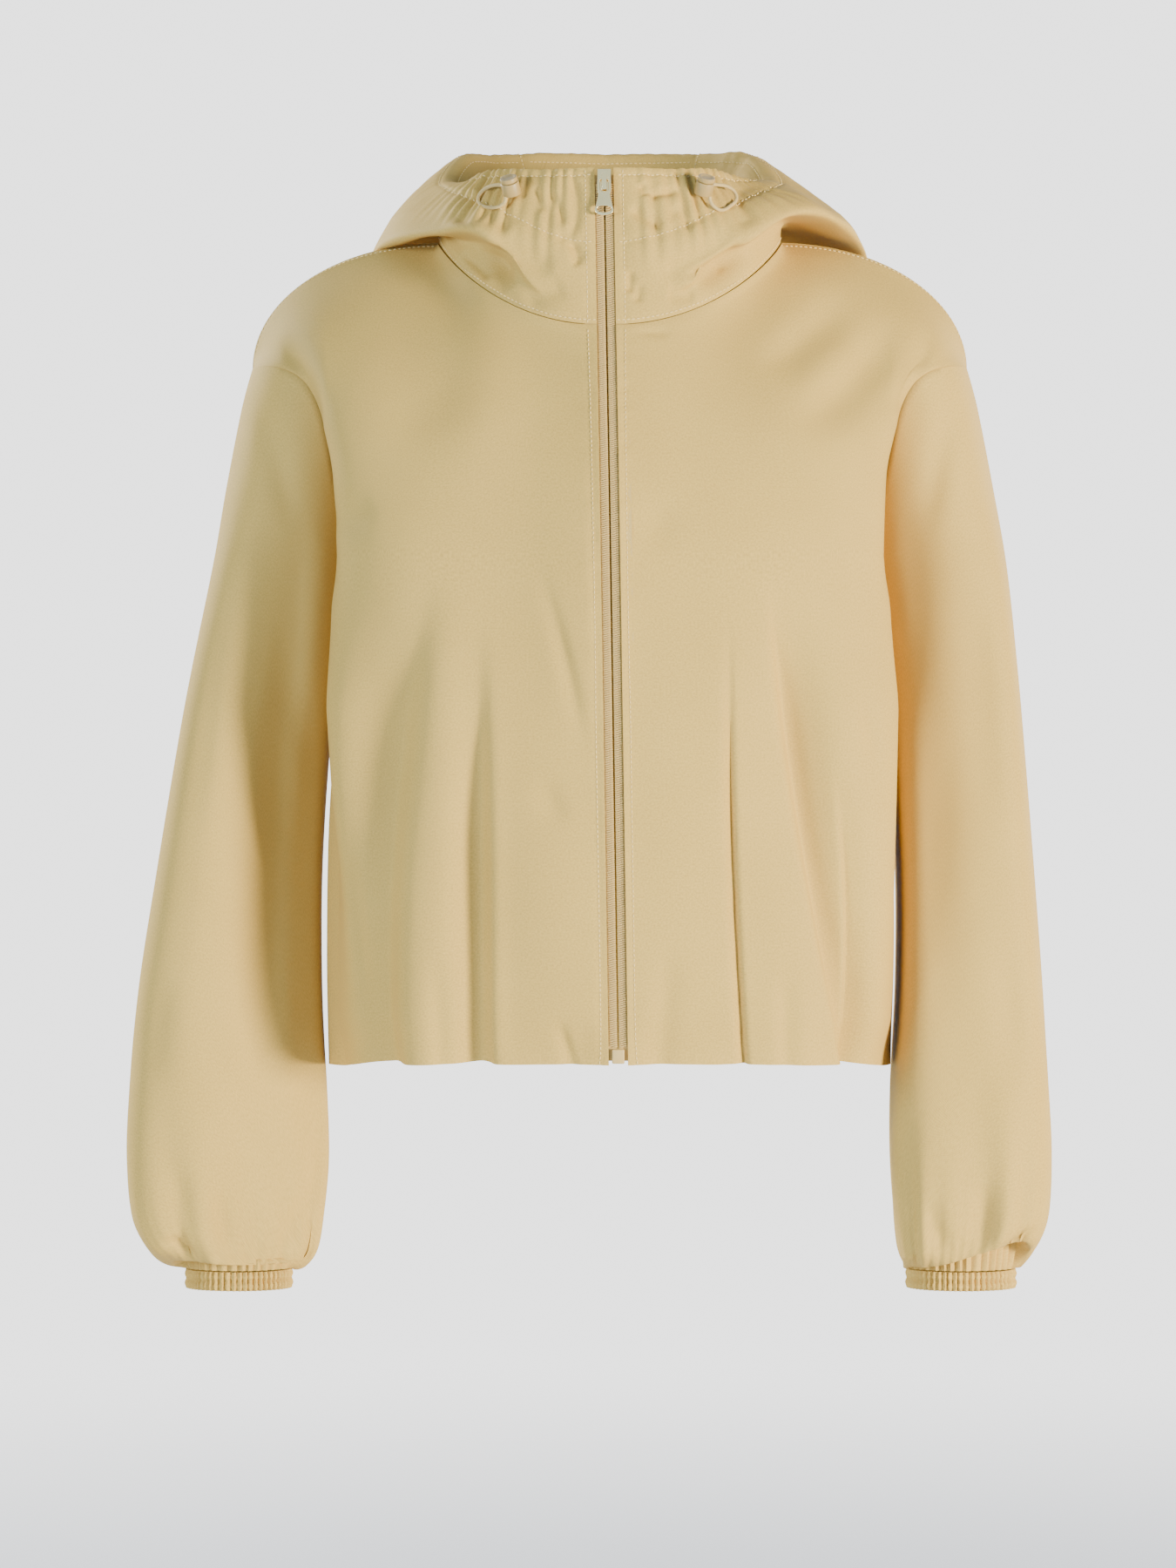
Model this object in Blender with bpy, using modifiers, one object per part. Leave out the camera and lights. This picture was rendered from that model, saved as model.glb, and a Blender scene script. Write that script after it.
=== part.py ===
"""Funnel neck jacket with its hood down, built as the pieces that a maker cuts and sews together.

The jacket stands as worn, hollow, with both sleeves hanging. Sizes are in metres, +Z is up, the front
faces -Y and +X is the right of a viewer in front. The origin lies midway between the two points where
the neck seam meets the shoulder seams.
"""

import math
from typing import NamedTuple

import bmesh
import bpy
from mathutils import Matrix, Vector

# Cloth and seams
CLOTH = 0.0012
SEAM_GAP = 0.0003
WALLS_SIDE_BY_SIDE = 0.0017

# Neck, shoulder and side
NECK_HALF_WIDTH = 0.1105
NECK_SIDE_HEIGHT = 0.002
NECK_SIDE_DEPTH = 0.003
NECK_FRONT_DEPTH = -0.085
NECK_FRONT_HEIGHT = -0.0575
NECK_BACK_DEPTH = 0.078
NECK_BACK_HEIGHT = 0.010
NECK_CURVE = 1.6
NECK_SHARE = 0.4
SIDE_SEAM_DEPTH = 0.010
ROUNDNESS = 0.87
ROUND_OVER = (0.10, 0.45)
YOKE_FALL = 1.6
SWELL_FROM = 0.38
SWELL_OVER = 0.56
ARMHOLE_REACH = 0.45
ARMHOLE_SET_BACK = 0.0014

# Centre front
ZIP_HALF_GAP = 0.006
ZIP_TOP_X = -0.004
ZIP_HEM_X = 0.005
RIM_HEIGHT = 0.042
HEM_HEIGHT = -0.521
HEM_SIDE_DROP = 0.005

# Grid of the cloth
FRONT_NECK_COLUMNS = 9
FRONT_SHOULDER_COLUMNS = 10
BACK_NECK_COLUMNS = 5
BACK_SHOULDER_COLUMNS = 7
BODY_ROWS = 12
YOKE_ROWS = 10
SLEEVE_COLUMNS = 40
SLEEVE_ROWS = (0.0, 0.05, 0.11, 0.18, 0.26, 0.35, 0.45, 0.55, 0.65, 0.74, 0.82, 0.88, 0.93, 0.97, 1.0)
GATHERS = 20
EDGE_CROWDING = 1.35
HOOD_SIDE_COLUMNS = 15
HOOD_CENTRE_COLUMNS = 6
HOOD_ROWS = (0.0, 0.6, 1.2, 1.7, 2.2, 2.6, 2.85, 3.0, 3.2, 3.5, 4.0, 4.5, 5.0, 5.3, 5.65, 6.0)
HOOD_SEAM_ANGLE = 150.0

# Elastic cuff
CUFF_HEIGHT = 0.012
CUFF_GATHER = 0.0011
CUFF_ROWS = 2
SLEEVE_GATHER = 0.0024
SLEEVE_PUFF = 0.0035

# Zip
TAPE_NEAR = 0.0031
TAPE_FAR = 0.0100
TAPE_THICK = 0.0008
TAPE_BEHIND = 0.0016
CHAIN_HALF = 0.0028
CHAIN_THICK = 0.0022
CHAIN_BEHIND = 0.0006
SLIDER_MIDDLE_HEIGHT = 0.0335
SLIDER_WIDTH = 0.0084
SLIDER_LENGTH = 0.0150
PLATE = 0.0012
PIVOT_UP = 0.0010
TAB_THICK = 0.0014
TAB_LENGTH = 0.0240
TAB_TOP_WIDTH = 0.0076
TAB_FOOT_WIDTH = 0.0120
TAB_BAR = 0.0008
TAB_WINDOW = (0.0044, 0.0080)
TAB_HOLE = (0.0060, 0.0034)
TAB_ROUNDING = 0.0036
TAB_HOLE_UP = 0.0060
WEDGE_WIDTH = 0.0032
WEDGE_LENGTH = 0.0056
BRIDGE_WIDTH = 0.0030
BRIDGE_SPACE = 0.0026
BRIDGE_REACH = 0.0040
BRIDGE_LENGTH = 0.0114
BRIDGE_DROP = 0.0022
BOX_SIZE = (0.0078, 0.0033, 0.0092)
BOX_AHEAD = 0.00075
BOX_FROM_HEM = 0.0012
TAPE_ENDS = (0.004, 1.985)
CHAIN_IN_SLIDER = 0.0060
CHAIN_FROM_HEM = 0.0115
LEVEL_APART = 0.004
SHARP_ANGLE = 40.0

# Cord and cord locks
CORD_DIAMETER = 0.0023
LOCK_ANGLE = 32.0
LOCK_PLACE = 4.93
LOCK_LEAN = 28.0
LOCK_RADIUS = 0.0058
LOCK_BODY = 0.0100
LOCK_NECK = 0.0003
LOCK_SET_DOWN = 0.0015
BUTTON_RADIUS = 0.0050
BUTTON_HEIGHT = 0.0030
LOCK_CLEARANCE = 0.0089


class BodySection(NamedTuple):
    """Level section of the body below the arms."""

    height: float
    side: float
    corner: float
    front: float
    back: float


class SleeveSection(NamedTuple):
    """Level section of a sleeve."""

    height: float
    outer: float
    inner: float
    depth: float
    middle: float


class HoodSection(NamedTuple):
    """Upright section of the hood, each point as a distance out from the neck seam and a height."""

    under_out: float
    under_height: float
    lip_out: float
    lip_height: float
    belly_out: float
    belly_height: float
    crest_out: float
    crest_height: float
    rim_out: float
    rim_height: float


class Fold(NamedTuple):
    """Soft upright trough of a body panel, from the hem to where it runs out."""

    hem_x: float
    top_x: float
    hem_height: float
    top_height: float
    depth: float
    towards_zip: float
    towards_side: float


# From the hem up to the underarm
BODY = (
    BodySection(HEM_HEIGHT, 0.1805, 0.004, 0.104, 0.098),
    BodySection(-0.450, 0.1818, 0.012, 0.114, 0.104),
    BodySection(-0.360, 0.1800, 0.018, 0.121, 0.108),
    BodySection(-0.270, 0.1722, 0.028, 0.125, 0.112),
    BodySection(-0.205, 0.1640, 0.040, 0.123, 0.114),
)

# From the shoulder point down to the cuff
ARMHOLE = (
    SleeveSection(-0.078, 0.2296, 0.1300, 0.0500, 0.010),
    SleeveSection(-0.105, 0.2372, 0.1440, 0.0540, 0.016),
    SleeveSection(-0.155, 0.2472, 0.1580, 0.0580, 0.024),
    SleeveSection(-0.205, 0.2555, 0.1660, 0.0600, 0.030),
)
UNDERARM_PLACE = 3.0
SLEEVE_START = 0.016
ARMHOLE_CURVE = 1.82
LEFT_SLEEVE = ARMHOLE + (
    SleeveSection(-0.2700, 0.2685, 0.1755, 0.0610, 0.031),
    SleeveSection(-0.3175, 0.2772, 0.1815, 0.0620, 0.030),
    SleeveSection(-0.4000, 0.2906, 0.1865, 0.0630, 0.026),
    SleeveSection(-0.4743, 0.3018, 0.1865, 0.0640, 0.021),
    SleeveSection(-0.5415, 0.3080, 0.1835, 0.0645, 0.016),
    SleeveSection(-0.5850, 0.3095, 0.1830, 0.0630, 0.013),
    SleeveSection(-0.6220, 0.3050, 0.1865, 0.0580, 0.010),
    SleeveSection(-0.6440, 0.2930, 0.1900, 0.0510, 0.009),
    SleeveSection(-0.6540, 0.2830, 0.1970, 0.0420, 0.008),
    SleeveSection(-0.6565, 0.2716, 0.2061, 0.0310, 0.008),
)
RIGHT_SLEEVE = ARMHOLE + (
    SleeveSection(-0.2700, 0.2620, 0.1755, 0.0600, 0.031),
    SleeveSection(-0.3175, 0.2660, 0.1815, 0.0610, 0.030),
    SleeveSection(-0.4000, 0.2722, 0.1865, 0.0615, 0.026),
    SleeveSection(-0.4743, 0.2772, 0.1862, 0.0620, 0.021),
    SleeveSection(-0.5415, 0.2806, 0.1825, 0.0620, 0.016),
    SleeveSection(-0.5850, 0.2817, 0.1815, 0.0610, 0.013),
    SleeveSection(-0.6220, 0.2790, 0.1835, 0.0570, 0.010),
    SleeveSection(-0.6440, 0.2700, 0.1865, 0.0500, 0.009),
    SleeveSection(-0.6540, 0.2640, 0.1895, 0.0410, 0.008),
    SleeveSection(-0.6565, 0.2600, 0.1925, 0.0315, 0.008),
)

# A row for every 20 degrees from the centre front round to the centre back
HOOD_STEP = 20.0
HOOD = (
    HoodSection(-0.001, -0.045, -0.002, -0.030, -0.004, -0.005, -0.009, 0.028, -0.012, 0.042),
    HoodSection(0.000, -0.042, 0.001, -0.034, 0.002, -0.005, -0.008, 0.029, -0.013, 0.042),
    HoodSection(0.002, -0.029, 0.006, -0.024, 0.006, -0.002, -0.008, 0.030, -0.015, 0.043),
    HoodSection(0.004, -0.008, 0.011, -0.004, 0.010, 0.012, -0.006, 0.034, -0.017, 0.044),
    HoodSection(0.009, 0.009, 0.026, 0.009, 0.016, 0.024, -0.004, 0.043, -0.018, 0.044),
    HoodSection(0.018, 0.012, 0.050, 0.004, 0.032, 0.026, 0.000, 0.054, -0.017, 0.049),
    HoodSection(0.023, 0.004, 0.064, -0.022, 0.050, 0.018, 0.004, 0.064, -0.011, 0.056),
    HoodSection(0.028, -0.022, 0.063, -0.078, 0.070, -0.006, 0.011, 0.069, -0.006, 0.060),
    HoodSection(0.032, -0.044, 0.055, -0.128, 0.080, -0.036, 0.017, 0.071, -0.001, 0.062),
    HoodSection(0.034, -0.055, 0.050, -0.150, 0.083, -0.050, 0.020, 0.071, 0.002, 0.062),
)
HOOD_RISE_FRONT = 0.005
HOOD_RISE_BACK = 0.011
HOOD_SLUMP = 0.006

# Pleats at the hem and the folds that rise from them, on either side of the zip
FOLDS_LEFT = (
    Fold(0.0805, 0.0800, HEM_HEIGHT, -0.230, 0.0070, 0.014, 0.034),
    Fold(0.1480, 0.1150, HEM_HEIGHT, -0.190, 0.0065, 0.018, 0.030),
)
FOLDS_RIGHT = (
    Fold(0.0805, 0.0700, HEM_HEIGHT, -0.220, 0.0050, 0.014, 0.030),
    Fold(0.1480, 0.0980, HEM_HEIGHT, -0.200, 0.0060, 0.020, 0.026),
)
FOLDS_BACK = (
    Fold(0.0600, 0.0500, HEM_HEIGHT, -0.260, 0.0055, 0.020, 0.030),
    Fold(0.1300, 0.1150, HEM_HEIGHT, -0.220, 0.0060, 0.020, 0.028),
)
FOLD_EASE = 0.35
FOLD_AT_HEM = 0.6
FOLD_FULL = 0.4
FOLD_WIDENING = 1.5
FOLD_FROM_ZIP = 0.05
FOLD_FROM_SIDE = 0.85

# Routes of the two cord loops as seen from the front, from the lock: across, up and out of the cloth
LOOP_LEFT = (
    (-0.0061, 0.0008, -0.0002), (-0.0100, 0.0015, -0.0010), (-0.0150, 0.0018, -0.0024),
    (-0.0200, 0.0010, -0.0040), (-0.0240, -0.0020, -0.0050), (-0.0246, -0.0064, -0.0052),
    (-0.0216, -0.0100, -0.0050), (-0.0170, -0.0120, -0.0044), (-0.0120, -0.0130, -0.0038),
    (-0.0072, -0.0126, -0.0032), (-0.0040, -0.0110, -0.0028), (-0.0027, -0.0092, -0.0022),
    (-0.0025, -0.0071, -0.0012),
)
LOOP_RIGHT = (
    (0.0025, -0.0071, -0.0012), (0.0027, -0.0092, -0.0022), (0.0042, -0.0122, -0.0030),
    (0.0080, -0.0150, -0.0036), (0.0126, -0.0146, -0.0042), (0.0172, -0.0118, -0.0046),
    (0.0214, -0.0088, -0.0050), (0.0240, -0.0050, -0.0052), (0.0228, -0.0008, -0.0048),
    (0.0190, 0.0014, -0.0036), (0.0140, 0.0016, -0.0018), (0.0098, 0.0013, -0.0008),
    (0.0060, 0.0011, -0.0003),
)


def blend(start, end, share):
    """A value part of the way from start to end."""
    return start + (end - start) * share


def ease(low, high, value):
    """A smooth step from 0 at low to 1 at high."""
    share = min(max((value - low) / (high - low), 0.0), 1.0)
    return share * share * (3.0 - 2.0 * share)


def crowd(share):
    """A share moved so that even steps crowd together towards 1."""
    return 1.0 - (1.0 - share) ** EDGE_CROWDING


def panel_column(column, neck_columns, shoulder_columns):
    """Share across half a body panel of a column, even along the neck and crowded towards the armhole."""
    if column <= neck_columns:
        return NECK_SHARE * column / neck_columns
    return blend(NECK_SHARE, 1.0, crowd((column - neck_columns) / shoulder_columns))


def row_at(table, place):
    """Row of a table at a place counted in rows, on a smooth curve through the rows."""
    last = len(table) - 1
    index = min(max(int(place), 0), last - 1)
    part = place - index
    start = table[index]
    end = table[index + 1]
    before = table[max(index - 1, 0)]
    after = table[min(index + 2, last)]
    values = []
    for one, two, three, four in zip(before, start, end, after):
        leave = (three - one) / 2.0
        arrive = (four - two) / 2.0
        rise = three - two
        value = two + rise * ease(0.0, 1.0, part)
        value += leave * part * (1.0 - part) ** 2
        value -= arrive * part ** 2 * (1.0 - part)
        values.append(value)
    return type(start)(*values)


def zip_shift(height):
    """Sideways place of the zip at a height, since it hangs a little out of plumb."""
    return blend(ZIP_TOP_X, ZIP_HEM_X, (RIM_HEIGHT - height) / (RIM_HEIGHT - HEM_HEIGHT))


def neck_seam(angle, front):
    """Point of the neck seam at an angle round the neck, 0 at the middle and 90 at the shoulder."""
    turn = math.radians(angle)
    inner = ZIP_HALF_GAP if front else 0.0
    depth = NECK_FRONT_DEPTH if front else NECK_BACK_DEPTH
    height = NECK_FRONT_HEIGHT if front else NECK_BACK_HEIGHT
    shoulder = NECK_SIDE_DEPTH + (-SEAM_GAP if front else SEAM_GAP)
    drop = max(math.cos(turn), 0.0)
    return Vector((
        blend(inner, NECK_HALF_WIDTH, math.sin(turn)),
        blend(shoulder, depth, drop),
        blend(NECK_SIDE_HEIGHT, height, drop ** NECK_CURVE),
    ))


def sleeve_tube(table, angle, place):
    """Point of a sleeve, by the angle from its outer side round the front and the table's row."""
    row = row_at(table, place)
    middle = (row.outer + row.inner) / 2.0
    half = (row.outer - row.inner) / 2.0
    return Vector((
        middle + half * math.cos(angle),
        row.middle - row.depth * math.sin(angle),
        row.height,
    ))


def armhole_place(angle):
    """Row of the sleeve table where the armhole seam lies at an angle round the sleeve."""
    return UNDERARM_PLACE * ((1.0 - math.cos(angle)) / 2.0) ** ARMHOLE_CURVE


def body_ring(row, across, front):
    """Point of a level section of the body, 0 across at its middle and 1 at the side seam."""
    turn = across * math.pi / 2.0
    inner = ZIP_HALF_GAP if front else 0.0
    depth = -row.front if front else row.back
    seam = SIDE_SEAM_DEPTH + (-SEAM_GAP if front else SEAM_GAP) / 2.0
    swell = row.corner * math.sin(math.pi * min(max((across - SWELL_FROM) / SWELL_OVER, 0.0), 1.0)) ** 2
    return Vector((
        blend(inner, row.side, math.sin(turn) ** ROUNDNESS) + (swell if front else 0.0),
        blend(seam, depth, max(math.cos(turn), 0.0) ** ROUNDNESS),
        row.height,
    ))


def top_edge(across, front):
    """Point of a body panel's upper edge, along the neck seam and then the shoulder seam."""
    if across <= NECK_SHARE:
        return neck_seam(90.0 * across / NECK_SHARE, front)
    share = (across - NECK_SHARE) / (1.0 - NECK_SHARE)
    turn = share * math.pi / 2.0
    point = ARMHOLE[0]
    seam = -SEAM_GAP if front else SEAM_GAP
    return Vector((
        blend(NECK_HALF_WIDTH, point.outer, math.sin(turn)),
        blend(NECK_SIDE_DEPTH, point.middle, share) + seam,
        blend(point.height, NECK_SIDE_HEIGHT, math.cos(turn)),
    ))


def armhole_edge(share, front):
    """Point of a body panel's armhole edge, from the underarm up to the shoulder point."""
    angle = math.pi * (1.0 - share) ** (1.0 / EDGE_CROWDING)
    hand = 1.0 if front else -1.0
    point = sleeve_tube(ARMHOLE, hand * angle, armhole_place(angle))
    under = math.sqrt((1.0 - math.cos(angle)) / 2.0)
    point.x -= WALLS_SIDE_BY_SIDE * under
    point.y -= hand * (SEAM_GAP / 2.0 + ARMHOLE_SET_BACK * math.sin(angle))
    point.z += SEAM_GAP * (1.0 - under)
    return point


def yoke(across, rise, front):
    """Point of a body panel between the underarm, rise 0, and its upper edge, rise 1."""
    low = body_ring(BODY[-1], across, front)
    high = top_edge(across, front)
    round_over = ease(*ROUND_OVER, across)
    turn = rise * math.pi / 2.0
    return Vector((
        blend(low.x, high.x, rise),
        blend(low.y, high.y, blend(rise ** YOKE_FALL, 1.0 - math.cos(turn), round_over)),
        blend(low.z, high.z, blend(rise, math.sin(turn), round_over)),
    ))


def body_form(across, up, front):
    """Point of half a body panel without folds: up runs 0 to 1 to the underarm and on to 2 at the top."""
    if up <= 1.0:
        point = body_ring(row_at(BODY, up * (len(BODY) - 1)), across, front)
        point.z -= HEM_SIDE_DROP * (1.0 - up) ** 2 * across ** 2
        return point
    rise = up - 1.0
    point = yoke(across, rise, front)
    edge = armhole_edge(rise, front) - yoke(1.0, rise, front)
    return point + edge * ease(ARMHOLE_REACH, 1.0, across)


def fold_depth(folds, x, height):
    """How far the folds press a body panel in at a distance from its middle and a height."""
    total = 0.0
    for fold in folds:
        share = (height - fold.hem_height) / (fold.top_height - fold.hem_height)
        if share >= 1.0:
            continue
        line = blend(fold.hem_x, fold.top_x, ease(0.0, 1.0, share))
        reach = fold.towards_zip if x < line else fold.towards_side
        reach *= blend(1.0, FOLD_WIDENING, share)
        strength = blend(FOLD_AT_HEM, 1.0, ease(0.0, FOLD_FULL, share))
        strength *= 1.0 - ease(FOLD_EASE, 1.0, share)
        total += fold.depth * strength * math.exp(-((x - line) / reach) ** 2)
    return total


def body_panel(across, up, front, folds):
    """Point of half a body panel with its folds pressed in square to the cloth."""
    point = body_form(across, up, front)
    step = 0.01
    ahead = body_form(min(across + step, 1.0), up, front)
    behind = body_form(max(across - step, 0.0), up, front)
    along = ahead - behind
    square = Vector((-along.y, along.x, 0.0)).normalized()
    inward = square if front else -square
    free = 1.0 - ease(FOLD_FROM_SIDE, 1.0, across)
    if front:
        free *= ease(0.0, FOLD_FROM_ZIP, across)
    return point + inward * fold_depth(folds, point.x, point.z) * free


def front_point(across, up, hand, folds):
    """Point of a front panel in the jacket's frame, hand -1 on the left of the picture."""
    point = body_panel(across, up, True, folds)
    shift = zip_shift(point.z) * max(1.0 - across / NECK_SHARE, 0.0) ** 2
    return Vector((hand * point.x + shift, point.y, point.z))


def back_point(across, up):
    """Point of the back panel, across from -1 to 1."""
    point = body_panel(abs(across), up, False, FOLDS_BACK)
    return Vector((math.copysign(point.x, across), point.y, point.z))


def hood_form(angle, place):
    """Point of the hood on its right half, by the angle from the front and the place up its section."""
    front = angle <= 90.0
    seam = neck_seam(angle if front else 180.0 - angle, front)
    row = row_at(HOOD, angle / HOOD_STEP)
    turn = math.radians(angle)
    side = math.sin(turn) ** 2
    foot = seam.z + 2.0 * SEAM_GAP + CLOTH / 2.0 * side
    rise = blend(HOOD_RISE_FRONT, HOOD_RISE_BACK, ease(40.0, 90.0, angle))
    section = (
        (-CLOTH * side, foot),
        (0.0, foot + rise),
        (row.under_out, row.under_height),
        (row.lip_out, row.lip_height),
        (row.belly_out, row.belly_height),
        (row.crest_out, row.crest_height),
        (row.rim_out, row.rim_height),
    )
    out, height = section_at(section, place)
    return Vector((seam.x + out * math.sin(turn), seam.y - out * math.cos(turn), height))


def section_at(section, place):
    """Point of an upright section at a place counted in its points."""
    pairs = tuple(Pair(*point) for point in section)
    return row_at(pairs, place)


class Pair(NamedTuple):
    """Point of an upright section."""

    out: float
    height: float


def hood_point(angle, place, hand):
    """Point of the hood in the jacket's frame, by the angle from the front on one hand."""
    point = hood_form(angle, place)
    turn = math.radians(angle)
    loose = math.sin(math.pi * min(max((place - 1.0) / 4.0, 0.0), 1.0))
    slump = HOOD_SLUMP * loose * math.sin(turn) ** 2
    shift = zip_shift(point.z) * max(1.0 - angle / 90.0, 0.0) ** 2
    return Vector((hand * point.x + slump + shift, point.y, point.z))


def sleeve_point(table, hand, angle, down):
    """Point of a sleeve, down from 0 at the armhole seam to 1 at the cuff."""
    last = len(table) - 1
    place = blend(armhole_place(angle) + SLEEVE_START, last, down)
    point = sleeve_tube(table, angle, place)
    near_cuff = ease(last - 4.0, last - 1.5, place)
    at_cuff = ease(last - 1.5, last, place)
    gather = near_cuff * blend(SLEEVE_GATHER, CUFF_GATHER, at_cuff) * math.cos(GATHERS * angle)
    puff = near_cuff * (1.0 - at_cuff) * SLEEVE_PUFF * math.cos(5.0 * angle + hand)
    out = gather + puff
    return Vector((
        hand * (point.x + out * math.cos(angle)),
        point.y - out * math.sin(angle),
        point.z,
    ))


def cuff_point(table, hand, angle, down):
    """Point of a gathered cuff, down from 0 at the sleeve to 1 at its open edge."""
    row = table[-1]
    middle = (row.outer + row.inner) / 2.0
    half = (row.outer - row.inner) / 2.0
    wave = CUFF_GATHER * math.cos(GATHERS * angle) * blend(1.0, 1.2, down)
    return Vector((
        hand * (middle + (half + wave) * math.cos(angle)),
        row.middle - (row.depth + wave) * math.sin(angle),
        row.height - SEAM_GAP - CLOTH / 2.0 - CUFF_HEIGHT * down,
    ))


def zip_line(row):
    """Point of the centre front, row from 0 at the hem to 1 at the neck seam and on to 2 at the rim."""
    if row <= 1.0:
        point = body_form(0.0, 2.0 * row, True)
    else:
        point = hood_form(0.0, 6.0 * (row - 1.0))
    return Vector((zip_shift(point.z), point.y, point.z))


def zip_frame(row):
    """Placing of a piece on the zip, turned to lie along it."""
    along = zip_line(row + 0.01) - zip_line(row - 0.01)
    lean = Matrix.Rotation(-math.atan2(along.y, along.z), 4, "X")
    return Matrix.Translation(zip_line(row)) @ lean


def zip_row_at(height):
    """Row of the zip line at a height, found by halving."""
    low = 0.0
    high = 2.0
    for _ in range(40):
        middle = (low + high) / 2.0
        if zip_line(middle).z < height:
            low = middle
        else:
            high = middle
    return low


def zip_rows(low, high):
    """Rows of the zip line from low to high, at the same levels as the rows of the cloth beside it."""
    levels = [level / BODY_ROWS / 2.0 for level in range(BODY_ROWS)]
    levels += [0.5 + crowd(level / YOKE_ROWS) / 2.0 for level in range(YOKE_ROWS)]
    levels += [1.0 + place / HOOD_ROWS[-1] for place in HOOD_ROWS]
    inside = [level for level in levels if low + LEVEL_APART < level < high - LEVEL_APART]
    return [low, *inside, high]


def make_material(name, colour, roughness, metallic=0.0):
    """A plain Principled material."""
    material = bpy.data.materials.new(name)
    material.use_nodes = True
    shader = material.node_tree.nodes["Principled BSDF"]
    shader.inputs["Base Color"].default_value = (*colour, 1.0)
    shader.inputs["Roughness"].default_value = roughness
    shader.inputs["Metallic"].default_value = metallic
    return material


def add_object(name, mesh, material, collection):
    """Put a mesh in the scene under a name."""
    mesh.materials.append(material)
    thing = bpy.data.objects.new(name, mesh)
    collection.objects.link(thing)
    return thing


def shade_round(mesh):
    """Shade a round piece smooth and keep its rims sharp."""
    mesh.shade_smooth()
    mesh.set_sharp_from_angle(angle=math.radians(SHARP_ANGLE))


def cloth_sheet(name, columns, rows, place, material, collection, closed=False, thickness=CLOTH):
    """A sheet of cloth on a surface given by place(column share, row share), thickened to a wall."""
    mesh = bpy.data.meshes.new(name)
    work = bmesh.new()
    bmesh.ops.create_grid(work, x_segments=columns, y_segments=rows, size=0.5)
    for vertex in work.verts:
        vertex.co = place(vertex.co.x + 0.5, vertex.co.y + 0.5)
    if closed:
        bmesh.ops.remove_doubles(work, verts=work.verts, dist=0.00001)
    work.to_mesh(mesh)
    work.free()
    mesh.shade_smooth()
    thing = add_object(name, mesh, material, collection)
    wall = thing.modifiers.new("Wall", "SOLIDIFY")
    wall.thickness = thickness
    wall.offset = 0.0
    wall.use_quality_normals = True
    return thing


def box(name, size, centre, material, collection):
    """A box with its sides along the axes."""
    mesh = bpy.data.meshes.new(name)
    work = bmesh.new()
    bmesh.ops.create_cube(work, size=1.0)
    bmesh.ops.scale(work, vec=size, verts=work.verts)
    bmesh.ops.translate(work, vec=centre, verts=work.verts)
    work.to_mesh(mesh)
    work.free()
    return add_object(name, mesh, material, collection)


def boolean(thing, other, operation):
    """Join another object to a thing, or cut it away, and hide that object."""
    other.hide_render = True
    other.display_type = "WIRE"
    step = thing.modifiers.new(operation.title(), "BOOLEAN")
    step.operation = operation
    step.solver = "EXACT"
    step.object = other


def drum(name, radius, height, placing, material, collection, segments=20, edge=0.0006):
    """A round drum with softened rims, standing on its own axis and then placed."""
    mesh = bpy.data.meshes.new(name)
    work = bmesh.new()
    bmesh.ops.create_cone(
        work, cap_ends=True, segments=segments, radius1=radius, radius2=radius, depth=height,
    )
    rims = [line for line in work.edges if abs(line.verts[0].co.z - line.verts[1].co.z) < 1e-6]
    bmesh.ops.bevel(work, geom=rims, offset=edge, segments=1, affect="EDGES")
    bmesh.ops.transform(work, matrix=placing, verts=work.verts)
    work.to_mesh(mesh)
    work.free()
    shade_round(mesh)
    return add_object(name, mesh, material, collection)


def build_body(material, collection):
    """Both fronts and the back."""
    rows = BODY_ROWS + YOKE_ROWS
    front_columns = FRONT_NECK_COLUMNS + FRONT_SHOULDER_COLUMNS
    back_half = BACK_NECK_COLUMNS + BACK_SHOULDER_COLUMNS

    def panel(hand, folds):
        def place(column, row):
            number = round(column * front_columns)
            across = panel_column(number, FRONT_NECK_COLUMNS, FRONT_SHOULDER_COLUMNS)
            return front_point(across, up_at(row), hand, folds)
        return place

    def up_at(row):
        level = row * rows
        if level <= BODY_ROWS:
            return level / BODY_ROWS
        return 1.0 + crowd((level - BODY_ROWS) / YOKE_ROWS)

    def back(column, row):
        number = round(2.0 * column * back_half) - back_half
        across = panel_column(abs(number), BACK_NECK_COLUMNS, BACK_SHOULDER_COLUMNS)
        return back_point(math.copysign(across, number), up_at(row))

    cloth_sheet("front_left", front_columns, rows, panel(-1.0, FOLDS_LEFT), material, collection)
    cloth_sheet("front_right", front_columns, rows, panel(1.0, FOLDS_RIGHT), material, collection)
    cloth_sheet("back", 2 * back_half, rows, back, material, collection)


def build_sleeve(side, hand, table, material, collection):
    """One sleeve and its gathered cuff."""
    rows = len(SLEEVE_ROWS) - 1
    step = 2.0 * math.pi / SLEEVE_COLUMNS

    def sleeve(column, row):
        number = round(column * SLEEVE_COLUMNS)
        down = SLEEVE_ROWS[round(row * rows)]
        if down == 0.0 and number % 2 == 1:
            before = sleeve_point(table, hand, step * (number - 1), down)
            after = sleeve_point(table, hand, step * (number + 1), down)
            return (before + after) / 2.0
        return sleeve_point(table, hand, step * number, down)

    def cuff(column, row):
        return cuff_point(table, hand, 2.0 * math.pi * column, row)

    cloth_sheet("sleeve_" + side, SLEEVE_COLUMNS, rows, sleeve, material, collection, closed=True)
    cloth_sheet("cuff_" + side, SLEEVE_COLUMNS, CUFF_ROWS, cuff, material, collection, closed=True)


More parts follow.
